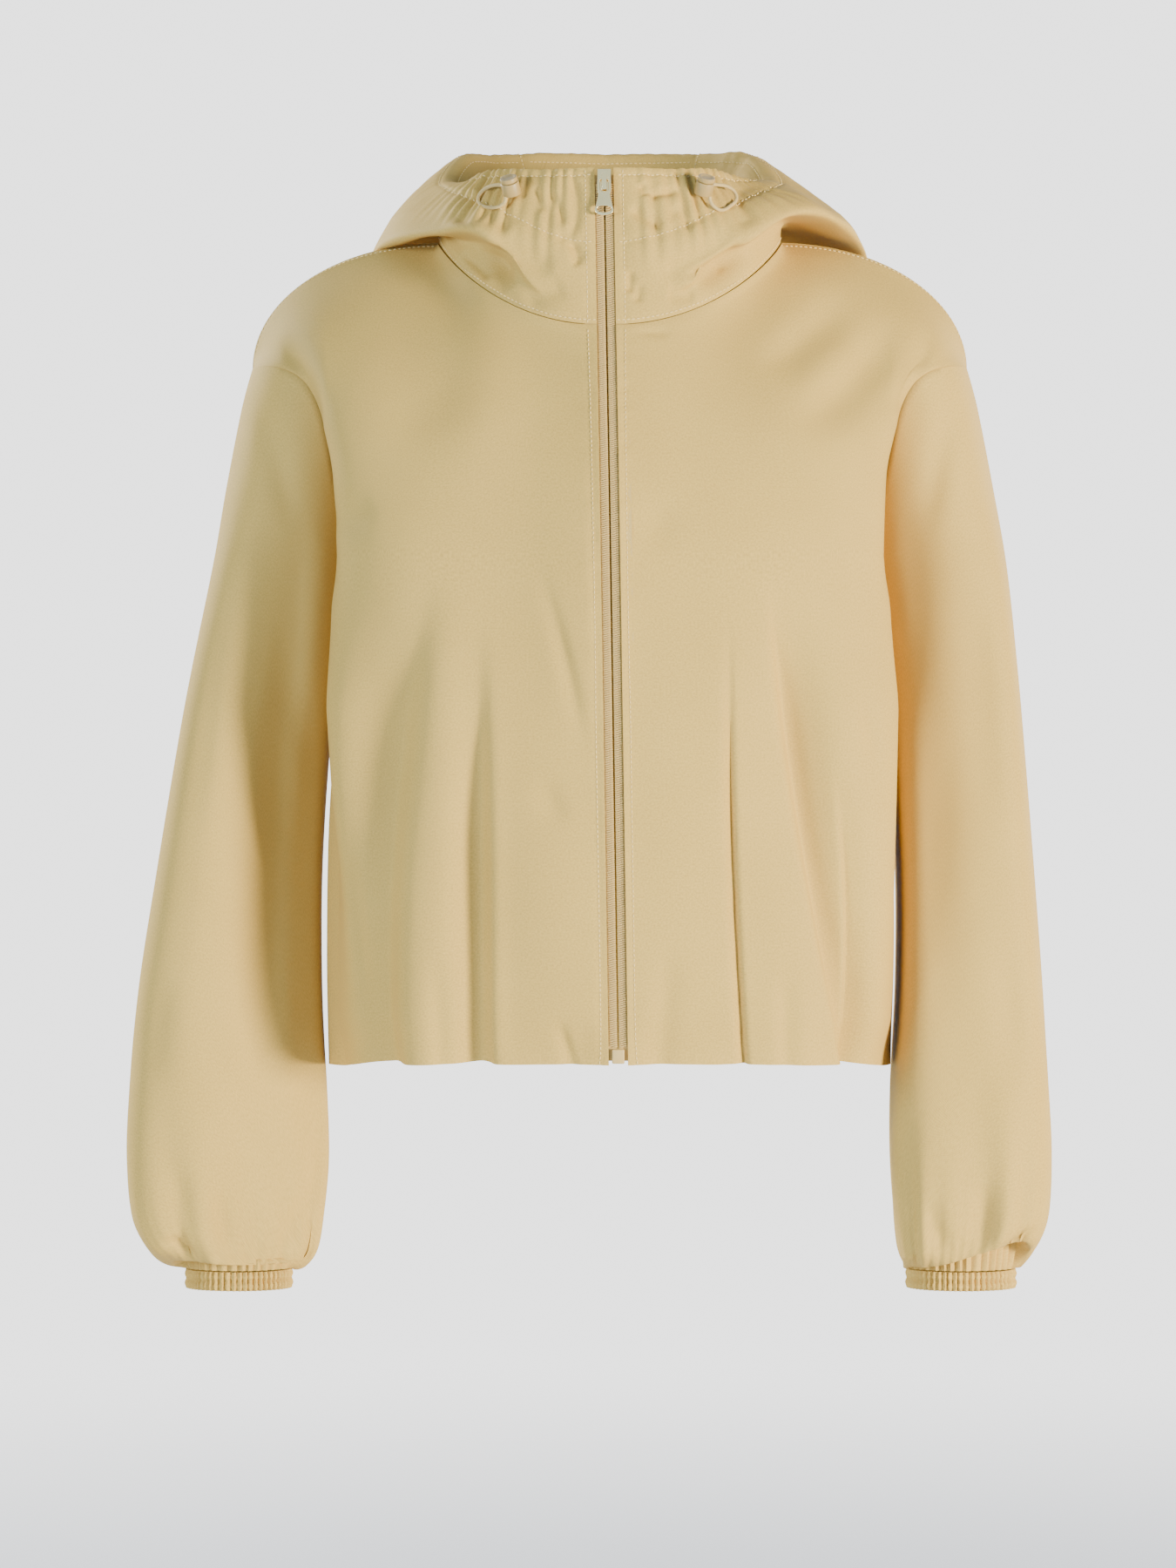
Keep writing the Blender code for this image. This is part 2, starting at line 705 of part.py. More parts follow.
def build_hood(material, collection):
    """The two hood sides, which close in front as the funnel neck, and the middle panel."""
    rows = len(HOOD_ROWS) - 1
    gap = math.degrees(SEAM_GAP / 2.0 / NECK_BACK_DEPTH)

    def side(hand):
        def place(column, row):
            angle = column * (HOOD_SEAM_ANGLE - gap)
            return hood_point(angle, HOOD_ROWS[round(row * rows)], hand)
        return place

    def centre(column, row):
        angle = blend(HOOD_SEAM_ANGLE + gap, 360.0 - HOOD_SEAM_ANGLE - gap, column)
        hand = 1.0 if angle <= 180.0 else -1.0
        return hood_point(180.0 - abs(180.0 - angle), HOOD_ROWS[round(row * rows)], hand)

    cloth_sheet("hood_left", HOOD_SIDE_COLUMNS, rows, side(-1.0), material, collection)
    cloth_sheet("hood_right", HOOD_SIDE_COLUMNS, rows, side(1.0), material, collection)
    cloth_sheet("hood_centre", HOOD_CENTRE_COLUMNS, rows, centre, material, collection)


def build_zip(tape_material, metal, plastic, collection, cutters):
    """Zip tapes, chain, slider, pull tab and the box at the foot."""
    top_row = zip_row_at(SLIDER_MIDDLE_HEIGHT - SLIDER_LENGTH / 2.0 + CHAIN_IN_SLIDER)
    foot_row = zip_row_at(HEM_HEIGHT + CHAIN_FROM_HEM)

    def strip(name, near, far, behind, rows, thickness, material):
        def place(column, row):
            point = zip_line(rows[round(row * (len(rows) - 1))])
            return point + Vector((blend(near, far, column), behind, 0.0))
        cloth_sheet(name, 1, len(rows) - 1, place, material, collection, thickness=thickness)

    tape_rows = zip_rows(*TAPE_ENDS)
    strip("zip_tape_left", -TAPE_FAR, -TAPE_NEAR, TAPE_BEHIND, tape_rows, TAPE_THICK, tape_material)
    strip("zip_tape_right", TAPE_NEAR, TAPE_FAR, TAPE_BEHIND, tape_rows, TAPE_THICK, tape_material)
    chain_rows = zip_rows(foot_row, top_row)
    strip("zip_chain", -CHAIN_HALF, CHAIN_HALF, CHAIN_BEHIND, chain_rows, CHAIN_THICK, plastic)

    foot = box("zip_box", BOX_SIZE, (0.0, -BOX_AHEAD, 0.0), plastic, collection)
    foot.matrix_world = zip_frame(zip_row_at(HEM_HEIGHT + BOX_SIZE[2] / 2.0 + BOX_FROM_HEM))
    build_slider(metal, collection, cutters)


def build_slider(metal, collection, cutters):
    """The slider round the top of the chain, its bridge, and the tab that swings on it."""
    frame = zip_frame(zip_row_at(SLIDER_MIDDLE_HEIGHT))
    front_face = CHAIN_BEHIND - CHAIN_THICK / 2.0 - 2.0 * SEAM_GAP
    back_face = TAPE_BEHIND + TAPE_THICK / 2.0 + 2.0 * SEAM_GAP
    plate_size = (SLIDER_WIDTH, PLATE, SLIDER_LENGTH)
    slider = box("zip_slider", plate_size, (0.0, front_face - PLATE / 2.0, 0.0), metal, collection)
    plate = box("slider_back_plate", plate_size, (0.0, back_face + PLATE / 2.0, 0.0), metal, cutters)
    wedge = box("slider_wedge", (WEDGE_WIDTH, back_face - front_face + PLATE, WEDGE_LENGTH),
                (0.0, (front_face + back_face) / 2.0, (SLIDER_LENGTH - WEDGE_LENGTH) / 2.0 - SEAM_GAP),
                metal, cutters)
    pivot = Vector((0.0, front_face - PLATE - BRIDGE_SPACE / 2.0, PIVOT_UP))
    under = BRIDGE_REACH / 2.0 - BRIDGE_SPACE / 2.0 - SEAM_GAP
    bridge = box("slider_bridge", (BRIDGE_WIDTH, BRIDGE_REACH, BRIDGE_LENGTH),
                 pivot + Vector((0.0, -under, -BRIDGE_DROP)), metal, cutters)
    opening = box("slider_bridge_opening", (SLIDER_WIDTH, BRIDGE_SPACE, BRIDGE_LENGTH - 2.0 * PLATE),
                  pivot + Vector((0.0, 0.0, -BRIDGE_DROP)), metal, cutters)
    boolean(bridge, opening, "DIFFERENCE")
    boolean(slider, plate, "UNION")
    boolean(slider, wedge, "UNION")
    boolean(slider, bridge, "UNION")
    for thing in (slider, plate, wedge, bridge, opening):
        thing.matrix_world = frame
    build_tab(frame @ Matrix.Translation(pivot), metal, collection, cutters)


def build_tab(frame, metal, collection, cutters):
    """The pull tab, widening to a round foot, with a window for the bridge and a hole."""
    mesh = bpy.data.meshes.new("zip_pull")
    work = bmesh.new()
    lie_flat = Matrix.Rotation(math.pi / 2.0, 4, "X")
    corners = (
        (TAB_TOP_WIDTH / 2.0, TAB_BAR, 0.0),
        (TAB_FOOT_WIDTH / 2.0, TAB_ROUNDING, TAB_ROUNDING - TAB_LENGTH),
    )
    for half, radius, height in corners:
        for hand in (-1.0, 1.0):
            for face in (-TAB_THICK / 2.0, TAB_THICK / 2.0):
                spot = Matrix.Translation((hand * (half - radius), face, height))
                bmesh.ops.create_circle(work, segments=20, radius=radius, matrix=spot @ lie_flat)
    hull = bmesh.ops.convex_hull(work, input=work.verts)
    inside = [item for item in hull["geom_interior"] if isinstance(item, bmesh.types.BMVert)]
    bmesh.ops.delete(work, geom=inside, context="VERTS")
    bmesh.ops.dissolve_limit(work, angle_limit=0.01, verts=work.verts, edges=work.edges)
    work.to_mesh(mesh)
    work.free()
    shade_round(mesh)
    tab = add_object("zip_pull", mesh, metal, collection)
    width, length = TAB_WINDOW
    window_spot = (0.0, 0.0, -TAB_BAR - length / 2.0)
    window = box("tab_window", (width, SLIDER_WIDTH, length), window_spot, metal, cutters)
    hole_width, hole_height = TAB_HOLE
    stretch = Matrix.Diagonal((hole_width / hole_height, 1.0, 1.0, 1.0))
    hole_spot = Matrix.Translation((0.0, 0.0, TAB_HOLE_UP - TAB_LENGTH))
    hole = drum("tab_hole", hole_height / 2.0, SLIDER_WIDTH, hole_spot @ lie_flat @ stretch, metal, cutters)
    boolean(tab, window, "DIFFERENCE")
    boolean(tab, hole, "DIFFERENCE")
    for thing in (tab, window, hole):
        thing.matrix_world = frame


def lock_frame(hand):
    """Middle of a cord lock with the directions across, up and out of the cloth behind it."""
    point = hood_point(LOCK_ANGLE, LOCK_PLACE, hand)
    ahead = hood_point(LOCK_ANGLE + 1.0, LOCK_PLACE, hand)
    behind = hood_point(LOCK_ANGLE - 1.0, LOCK_PLACE, hand)
    across = (hand * (ahead - behind)).normalized()
    above = hood_point(LOCK_ANGLE, LOCK_PLACE + 0.1, hand)
    below = hood_point(LOCK_ANGLE, LOCK_PLACE - 0.1, hand)
    out = across.cross(above - below).normalized()
    return point + out * LOCK_CLEARANCE, across, out.cross(across).normalized(), out


def build_lock(side, hand, route, plastic, cord_material, collection):
    """A cord lock with its button, and the loop of cord that comes out of it."""
    middle, across, up, out = lock_frame(hand)
    lean = math.radians(LOCK_LEAN)
    axis = up * math.cos(lean) + out * math.sin(lean)
    turn = axis.to_track_quat("Z", "Y").to_matrix().to_4x4()
    body_spot = Matrix.Translation(middle - axis * LOCK_SET_DOWN) @ turn
    drum("cord_lock_" + side, LOCK_RADIUS, LOCK_BODY, body_spot, plastic, collection)
    lift = LOCK_BODY / 2.0 + LOCK_NECK + BUTTON_HEIGHT / 2.0 - LOCK_SET_DOWN
    button_spot = Matrix.Translation(middle + axis * lift) @ turn
    drum("lock_button_" + side, BUTTON_RADIUS, BUTTON_HEIGHT, button_spot, plastic, collection)

    curve = bpy.data.curves.new("cord_" + side, "CURVE")
    curve.dimensions = "3D"
    curve.bevel_depth = CORD_DIAMETER / 2.0
    curve.bevel_resolution = 2
    curve.use_fill_caps = True
    curve.materials.append(cord_material)
    path = [middle + across * x + up * z + out * lift_off for x, z, lift_off in route]
    spline = curve.splines.new("POLY")
    spline.points.add(len(path) - 1)
    for spot, point in zip(spline.points, path):
        spot.co = (*point, 1.0)
    thing = bpy.data.objects.new("cord_" + side, curve)
    collection.objects.link(thing)


def main():
    """Build every piece."""
    for thing in list(bpy.data.objects):
        bpy.data.objects.remove(thing, do_unlink=True)
    parts = bpy.data.collections.new("funnel_neck_jacket")
    cutters = bpy.data.collections.new("cutters")
    bpy.context.scene.collection.children.link(parts)
    bpy.context.scene.collection.children.link(cutters)

    cloth = make_material("twill_tan", (0.62, 0.48, 0.27), 0.75)
    tape = make_material("zip_tape_tan", (0.60, 0.47, 0.27), 0.80)
    teeth = make_material("zip_coil_tan", (0.58, 0.46, 0.28), 0.45)
    metal = make_material("pale_gold", (0.75, 0.62, 0.40), 0.30, 1.0)
    plastic = make_material("lock_tan", (0.50, 0.38, 0.21), 0.55)
    cord = make_material("cord_beige", (0.68, 0.57, 0.38), 0.80)

    build_body(cloth, parts)
    build_sleeve("left", -1.0, LEFT_SLEEVE, cloth, parts)
    build_sleeve("right", 1.0, RIGHT_SLEEVE, cloth, parts)
    build_hood(cloth, parts)
    build_zip(tape, metal, teeth, parts, cutters)
    build_lock("left", -1.0, LOOP_LEFT, plastic, cord, parts)
    build_lock("right", 1.0, LOOP_RIGHT, plastic, cord, parts)


main()
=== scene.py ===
"""Looks of the funnel neck jacket: creased cloth, sewing, zip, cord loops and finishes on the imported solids.

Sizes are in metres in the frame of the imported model: +Z is up, the front faces -Y and +X is the right of a
viewer in front. The cloth follows the same sections as the solids, on a finer grid with its creases added.
"""

import logging
import math
from collections.abc import Iterator
from contextlib import contextmanager
from dataclasses import dataclass, field
from enum import Enum
from typing import NamedTuple

import bpy
import numpy as np
from mathutils import Matrix, Vector


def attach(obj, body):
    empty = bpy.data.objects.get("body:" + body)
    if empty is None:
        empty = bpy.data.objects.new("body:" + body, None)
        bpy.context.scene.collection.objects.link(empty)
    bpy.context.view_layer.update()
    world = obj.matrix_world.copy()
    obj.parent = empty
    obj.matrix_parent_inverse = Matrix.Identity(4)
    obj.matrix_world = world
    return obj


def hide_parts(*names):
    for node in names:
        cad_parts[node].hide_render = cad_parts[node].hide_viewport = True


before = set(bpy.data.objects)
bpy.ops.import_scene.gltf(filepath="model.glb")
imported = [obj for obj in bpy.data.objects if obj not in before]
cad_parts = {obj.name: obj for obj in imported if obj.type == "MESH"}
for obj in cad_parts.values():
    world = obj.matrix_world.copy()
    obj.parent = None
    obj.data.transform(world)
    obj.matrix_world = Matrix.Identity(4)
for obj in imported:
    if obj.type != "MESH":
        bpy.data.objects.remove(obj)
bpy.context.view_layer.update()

LOG = logging.getLogger("jacket")
Array = np.ndarray
GARMENT = "garment"
PULL = "pull"
TURN = 2.0 * math.pi
BEVEL_ANGLE = math.radians(35.0)
SMOOTH_ANGLE = math.radians(40.0)
CLOTH_SMOOTH_ANGLE = math.radians(55.0)
FLAT_ANGLE = math.radians(2.0)
MERGE_DISTANCE = 0.000002
CLOTH_MERGE_DISTANCE = 0.00001
Colour = tuple[float, float, float]
Span = tuple[float, float]
Edges = tuple[float, float, float, float]

# Place of the hood's rim, counted in knots up its section
HOOD_TOP = 6.0


class Side(Enum):
    """Side of the jacket as a viewer in front sees it."""

    LEFT = "left"
    RIGHT = "right"

    @property
    def hand(self) -> float:
        """Sign of X on this side."""
        return -1.0 if self is Side.LEFT else 1.0


class Line(NamedTuple):
    """Line on the cloth: its points and the way out of the cloth at each."""

    points: Array
    normals: Array


def blend(start: Array, end: Array, share: Array) -> Array:
    """Value part of the way from start to end."""
    return start + (end - start) * share


def ease(low: float, high: float, value: Array) -> Array:
    """Smooth step from 0 at low to 1 at high."""
    share = np.clip((value - low) / (high - low), 0.0, 1.0)
    return share * share * (3.0 - 2.0 * share)


def through(knots: Array, place: Array) -> Array:
    """Point of a smooth curve through knots.

    Args:
        knots: the knots, first by number and then by the shape of place, with the values last.
        place: where on the curve, counted in knots.

    Returns:
        The curve's values, with the shape of place and the values last.
    """
    last = len(knots) - 1
    index = np.clip(place.astype(int), 0, last - 1)
    part = (place - index)[..., None]

    def knot(number: Array) -> Array:
        """Knots of that number at each place."""
        chosen = np.clip(number, 0, last)[None, ..., None]
        return np.take_along_axis(knots, chosen, axis=0)[0]

    start = knot(index)
    end = knot(index + 1)
    leave = (end - knot(index - 1)) / 2.0
    arrive = (knot(index + 2) - start) / 2.0
    value = start + (end - start) * ease(0.0, 1.0, part)
    return value + leave * part * (1.0 - part) ** 2 - arrive * part**2 * (1.0 - part)


def row_at(table: Array, place: Array) -> Array:
    """Row of a table at a place counted in rows, on a smooth curve through the rows."""
    shape = (len(table),) + (1,) * place.ndim + (table.shape[1],)
    whole = (len(table),) + place.shape + (table.shape[1],)
    return through(np.broadcast_to(table.reshape(shape), whole), place)


def unit(vectors: Array) -> Array:
    """Vectors drawn to a length of 1."""
    return vectors / np.maximum(np.linalg.norm(vectors, axis=-1, keepdims=True), 1e-12)


def hollow(depth: Array, width: Array, distance: Array) -> Array:
    """Rounded hollow of a depth and a half width, by the distance from its middle."""
    return depth * np.exp(-((distance / width) ** 2))


def run_length(points: Array) -> Array:
    """Length along a line of points, at each of them."""
    steps = np.linalg.norm(np.diff(points, axis=0), axis=1)
    return np.concatenate([[0.0], np.cumsum(steps)])


def read_at(where: Array, run: Array, values: Array) -> Array:
    """Rows of three values, known at each length of a run, read at other lengths."""
    return np.stack([np.interp(where, run, values[:, axis]) for axis in range(3)], axis=-1)


def places_at(points: Array, places: Array, shares: Array) -> Array:
    """Places at shares of the length of a line of points.

    Args:
        points: points of the line.
        places: the place of each point.
        shares: the shares, from 0 to 1.

    Returns:
        The places.
    """
    run = run_length(points)
    return np.interp(shares * run[-1], run, places)


def even_places(points: Array, places: Array, count: int) -> Array:
    """Places that split a line of points into equal lengths, as many as count."""
    return places_at(points, places, np.linspace(0.0, 1.0, count + 1))


class Dip(NamedTuple):
    """Rounded dip of the cloth along a seam or a row of stitches."""

    depth: float
    width: float

    def press(self, distance: Array) -> Array:
        """How far the cloth is pressed in, by the distance from the dip's middle."""
        return hollow(self.depth, self.width, distance)


# Columns: height, half width at the side seam, swell of the front corner, depth in front, depth behind
BODY = np.array([
    (-0.521, 0.1805, 0.004, 0.104, 0.098),
    (-0.450, 0.1818, 0.012, 0.114, 0.104),
    (-0.360, 0.1800, 0.018, 0.121, 0.108),
    (-0.270, 0.1722, 0.028, 0.125, 0.112),
    (-0.205, 0.1640, 0.040, 0.123, 0.114),
])

# Columns: height, outer edge, inner edge, half depth, middle of the depth
ARMHOLE = np.array([
    (-0.078, 0.2296, 0.1300, 0.0500, 0.010),
    (-0.105, 0.2372, 0.1440, 0.0540, 0.016),
    (-0.155, 0.2472, 0.1580, 0.0580, 0.024),
    (-0.205, 0.2555, 0.1660, 0.0600, 0.030),
])
SLEEVE = {
    Side.LEFT: np.concatenate([ARMHOLE, [
        (-0.2700, 0.2685, 0.1755, 0.0610, 0.031),
        (-0.3175, 0.2772, 0.1815, 0.0620, 0.030),
        (-0.4000, 0.2906, 0.1865, 0.0630, 0.026),
        (-0.4743, 0.3018, 0.1865, 0.0640, 0.021),
        (-0.5415, 0.3080, 0.1835, 0.0645, 0.016),
        (-0.5850, 0.3095, 0.1830, 0.0630, 0.013),
        (-0.6220, 0.3050, 0.1865, 0.0580, 0.010),
        (-0.6440, 0.2930, 0.1900, 0.0510, 0.009),
        (-0.6540, 0.2830, 0.1970, 0.0420, 0.008),
        (-0.6565, 0.2716, 0.2061, 0.0310, 0.008),
    ]]),
    Side.RIGHT: np.concatenate([ARMHOLE, [
        (-0.2700, 0.2620, 0.1755, 0.0600, 0.031),
        (-0.3175, 0.2660, 0.1815, 0.0610, 0.030),
        (-0.4000, 0.2722, 0.1865, 0.0615, 0.026),
        (-0.4743, 0.2772, 0.1862, 0.0620, 0.021),
        (-0.5415, 0.2806, 0.1825, 0.0620, 0.016),
        (-0.5850, 0.2817, 0.1815, 0.0610, 0.013),
        (-0.6220, 0.2790, 0.1835, 0.0570, 0.010),
        (-0.6440, 0.2700, 0.1865, 0.0500, 0.009),
        (-0.6540, 0.2640, 0.1895, 0.0410, 0.008),
        (-0.6565, 0.2600, 0.1925, 0.0315, 0.008),
    ]]),
}

# Columns: out from the neck seam and height, in turn under the hood, at its lip, belly, crest and rim
HOOD = np.array([
    (-0.001, -0.045, -0.002, -0.030, -0.004, -0.005, -0.009, 0.028, -0.012, 0.042),
    (0.000, -0.042, 0.001, -0.034, 0.002, -0.005, -0.008, 0.029, -0.013, 0.042),
    (0.002, -0.029, 0.006, -0.024, 0.006, -0.002, -0.008, 0.030, -0.015, 0.043),
    (0.004, -0.008, 0.011, -0.004, 0.010, 0.012, -0.006, 0.034, -0.017, 0.044),
    (0.009, 0.009, 0.026, 0.009, 0.016, 0.024, -0.004, 0.043, -0.018, 0.044),
    (0.018, 0.012, 0.050, 0.004, 0.032, 0.026, 0.000, 0.054, -0.017, 0.049),
    (0.023, 0.004, 0.064, -0.022, 0.050, 0.018, 0.004, 0.064, -0.011, 0.056),
    (0.028, -0.022, 0.063, -0.078, 0.070, -0.006, 0.011, 0.069, -0.006, 0.060),
    (0.032, -0.044, 0.055, -0.128, 0.080, -0.036, 0.017, 0.071, -0.001, 0.062),
    (0.034, -0.055, 0.050, -0.150, 0.083, -0.050, 0.020, 0.071, 0.002, 0.062),
])

# Columns as the first six of the hood, added where the lowered hood folds over its own neck
NO_FOLD = (0.0, 0.0, 0.0, 0.0, 0.0, 0.0)
HOOD_FOLD = {
    Side.LEFT: np.array([
        NO_FOLD,
        (0.0000, 0.0020, 0.0000, 0.0020, 0.0000, 0.0000),
        (-0.0020, 0.0200, 0.0090, 0.0250, 0.0030, 0.0120),
        (-0.0030, 0.0090, 0.0110, 0.0070, 0.0020, 0.0070),
        (-0.0040, 0.0000, 0.0080, -0.0070, 0.0000, 0.0000),
        (-0.0020, 0.0000, 0.0020, -0.0090, 0.0000, 0.0000),
        NO_FOLD, NO_FOLD, NO_FOLD, NO_FOLD,
    ]),
    Side.RIGHT: np.array([
        NO_FOLD,
        (0.0000, 0.0020, 0.0000, 0.0020, 0.0000, 0.0000),
        (-0.0020, 0.0150, 0.0070, 0.0190, 0.0020, 0.0110),
        (-0.0030, 0.0190, 0.0110, 0.0200, 0.0040, 0.0140),
        (-0.0060, 0.0060, 0.0090, 0.0030, 0.0010, 0.0060),
        (-0.0040, 0.0000, 0.0020, -0.0100, 0.0000, 0.0000),
        NO_FOLD, NO_FOLD, NO_FOLD, NO_FOLD,
    ]),
}


class Fold(NamedTuple):
    """Soft upright trough of a body panel, from the hem to where it runs out."""

    hem_x: float
    top_x: float
    top_height: float
    depth: float
    towards_zip: float
    towards_side: float


FRONT_FOLDS = {
    Side.LEFT: (
        Fold(0.0805, 0.0800, -0.230, 0.0070, 0.014, 0.034),
        Fold(0.1480, 0.1150, -0.190, 0.0065, 0.018, 0.030),
    ),
    Side.RIGHT: (
        Fold(0.0805, 0.0700, -0.220, 0.0050, 0.014, 0.030),
        Fold(0.1480, 0.0980, -0.200, 0.0060, 0.020, 0.026),
    ),
}
BACK_FOLDS = (
    Fold(0.0600, 0.0500, -0.260, 0.0055, 0.020, 0.030),
    Fold(0.1300, 0.1150, -0.220, 0.0060, 0.020, 0.028),
)


@dataclass(frozen=True)
class JacketForm:
    """Surface of the jacket, worked out from the sizes and sections of its solids."""

    cloth: float = 0.0012
    seam_gap: float = 0.0003
    walls_side_by_side: float = 0.0017
    neck_half_width: float = 0.1105
    neck_side_height: float = 0.002
    neck_side_depth: float = 0.003
    neck_front_depth: float = -0.085
    neck_front_height: float = -0.0575
    neck_back_depth: float = 0.078
    neck_back_height: float = 0.010
    neck_curve: float = 1.6
    neck_share: float = 0.4
    side_seam_depth: float = 0.010
    roundness: float = 0.87
    round_over: Span = (0.10, 0.45)
    yoke_fall: float = 1.6
    swell_from: float = 0.38
    swell_over: float = 0.56
    armhole_reach: float = 0.45
    armhole_set_back: float = 0.0014
    armhole_curve: float = 1.82
    underarm_place: float = 3.0
    sleeve_start: float = 0.016
    edge_crowding: float = 1.35
    zip_half_gap: float = 0.006
    zip_top_x: float = -0.004
    zip_hem_x: float = 0.005
    rim_height: float = 0.042
    hem_height: float = -0.521
    hem_side_drop: float = 0.005
    hood_step: float = 20.0
    hood_seam_angle: float = 150.0
    hood_rise_front: float = 0.005
    hood_rise_back: float = 0.011
    hood_slump: float = 0.006
    cuff_height: float = 0.012
    cuff_gather: float = 0.0011
    sleeve_gather: float = 0.0005
    sleeve_puff: float = 0.0015
    sleeve_gathers: int = 38
    cuff_gathers: int = 58
    gather_drift: tuple[Span, Span] = ((0.9, 3.0), (0.6, 7.0))
    cuff_flare: float = 1.2
    cuff_rows: float = 1.5
    puff_rows: float = 4.0
    puffs: float = 5.0
    fold_widening: float = 1.5
    fold_hem_share: float = 0.6
    fold_full_at: float = 0.4
    fold_fade_from: float = 0.35
    fold_free: Span = (0.05, 0.85)
    hood_rise_over: Span = (40.0, 90.0)

    def zip_shift(self, height: Array) -> Array:
        """Sideways place of the zip at a height."""
        share = (self.rim_height - height) / (self.rim_height - self.hem_height)
        return blend(self.zip_top_x, self.zip_hem_x, share)

    def neck_seam(self, angle: Array, front: Array) -> Array:
        """Point of the neck seam at an angle round the neck, 0 at the middle and 90 at the shoulder."""
        turn = np.radians(angle)
        inner = np.where(front, self.zip_half_gap, 0.0)
        depth = np.where(front, self.neck_front_depth, self.neck_back_depth)
        height = np.where(front, self.neck_front_height, self.neck_back_height)
        shoulder = self.neck_side_depth + np.where(front, -self.seam_gap, self.seam_gap)
        drop = np.maximum(np.cos(turn), 0.0)
        x = blend(inner, self.neck_half_width, np.sin(turn))
        z = blend(self.neck_side_height, height, drop**self.neck_curve)
        return np.stack([x, blend(shoulder, depth, drop), z], axis=-1)

    def sleeve_tube(self, table: Array, angle: Array, place: Array) -> Array:
        """Point of a sleeve by the angle from its outer side round the front and the table's row."""
        row = row_at(table, place)
        middle = (row[..., 1] + row[..., 2]) / 2.0
        half = (row[..., 1] - row[..., 2]) / 2.0
        x = middle + half * np.cos(angle)
        return np.stack([x, row[..., 4] - row[..., 3] * np.sin(angle), row[..., 0]], axis=-1)

    def armhole_place(self, angle: Array) -> Array:
        """Row of the sleeve table where the armhole seam lies at an angle round the sleeve."""
        return self.underarm_place * ((1.0 - np.cos(angle)) / 2.0) ** self.armhole_curve

    def body_ring(self, row: Array, across: Array, front: bool) -> Array:
        """Point of a level section of the body, 0 across at its middle and 1 at the side seam."""
        turn = across * math.pi / 2.0
        inner = self.zip_half_gap if front else 0.0
        depth = -row[..., 3] if front else row[..., 4]
        seam = self.side_seam_depth + (-self.seam_gap if front else self.seam_gap) / 2.0
        bump = np.clip((across - self.swell_from) / self.swell_over, 0.0, 1.0)
        swell = row[..., 2] * np.sin(math.pi * bump) ** 2
        x = blend(inner, row[..., 1], np.sin(turn) ** self.roundness)
        if front:
            x = x + swell
        y = blend(seam, depth, np.maximum(np.cos(turn), 0.0) ** self.roundness)
        return np.stack([x, y, row[..., 0] + 0.0 * across], axis=-1)

    def top_edge(self, across: Array, front: bool) -> Array:
        """Point of a body panel's upper edge, along the neck seam and then the shoulder seam."""
        angle = 90.0 * np.minimum(across / self.neck_share, 1.0)
        neck = self.neck_seam(angle, np.full(across.shape, front))
        share = np.clip((across - self.neck_share) / (1.0 - self.neck_share), 0.0, 1.0)
        turn = share * math.pi / 2.0
        height, outer, _, _, middle = ARMHOLE[0]
        seam = -self.seam_gap if front else self.seam_gap
        x = blend(self.neck_half_width, outer, np.sin(turn))
        y = blend(self.neck_side_depth, middle, share) + seam
        z = blend(height, self.neck_side_height, np.cos(turn))
        shoulder = np.stack([x, y, z], axis=-1)
        return np.where((across <= self.neck_share)[..., None], neck, shoulder)

    def armhole_edge(self, share: Array, front: bool) -> Array:
        """Point of a body panel's armhole edge, from the underarm up to the shoulder point."""
        angle = math.pi * (1.0 - share) ** (1.0 / self.edge_crowding)
        hand = 1.0 if front else -1.0
        point = self.sleeve_tube(ARMHOLE, hand * angle, self.armhole_place(angle))
        under = np.sqrt((1.0 - np.cos(angle)) / 2.0)
        back = -hand * (self.seam_gap / 2.0 + self.armhole_set_back * np.sin(angle))
        move = np.stack([-self.walls_side_by_side * under, back, self.seam_gap * (1.0 - under)], axis=-1)
        return point + move

    def yoke(self, across: Array, rise: Array, front: bool) -> Array:
        """Point of a body panel between the underarm, rise 0, and its upper edge, rise 1."""
        underarm = np.broadcast_to(BODY[-1], across.shape + (BODY.shape[1],))
        low = self.body_ring(underarm, across, front)
        high = self.top_edge(across, front)
        over = ease(*self.round_over, across)
        turn = rise * math.pi / 2.0
        x = blend(low[..., 0], high[..., 0], rise)
        y = blend(low[..., 1], high[..., 1], blend(rise**self.yoke_fall, 1.0 - np.cos(turn), over))
        z = blend(low[..., 2], high[..., 2], blend(rise, np.sin(turn), over))
        return np.stack([x, y, z], axis=-1)

    def body_form(self, across: Array, up: Array, front: bool) -> Array:
        """Point of half a body panel without folds: up 0 to 1 reaches the underarm and 2 the top."""
        low_up = np.minimum(up, 1.0)
        low = self.body_ring(row_at(BODY, low_up * (len(BODY) - 1)), across, front)
        low[..., 2] -= self.hem_side_drop * (1.0 - low_up) ** 2 * across**2
        rise = np.maximum(up - 1.0, 0.0)
        edge = self.armhole_edge(rise, front) - self.yoke(np.ones_like(across), rise, front)
        high = self.yoke(across, rise, front)
        high = high + edge * ease(self.armhole_reach, 1.0, across)[..., None]
        return np.where((up <= 1.0)[..., None], low, high)

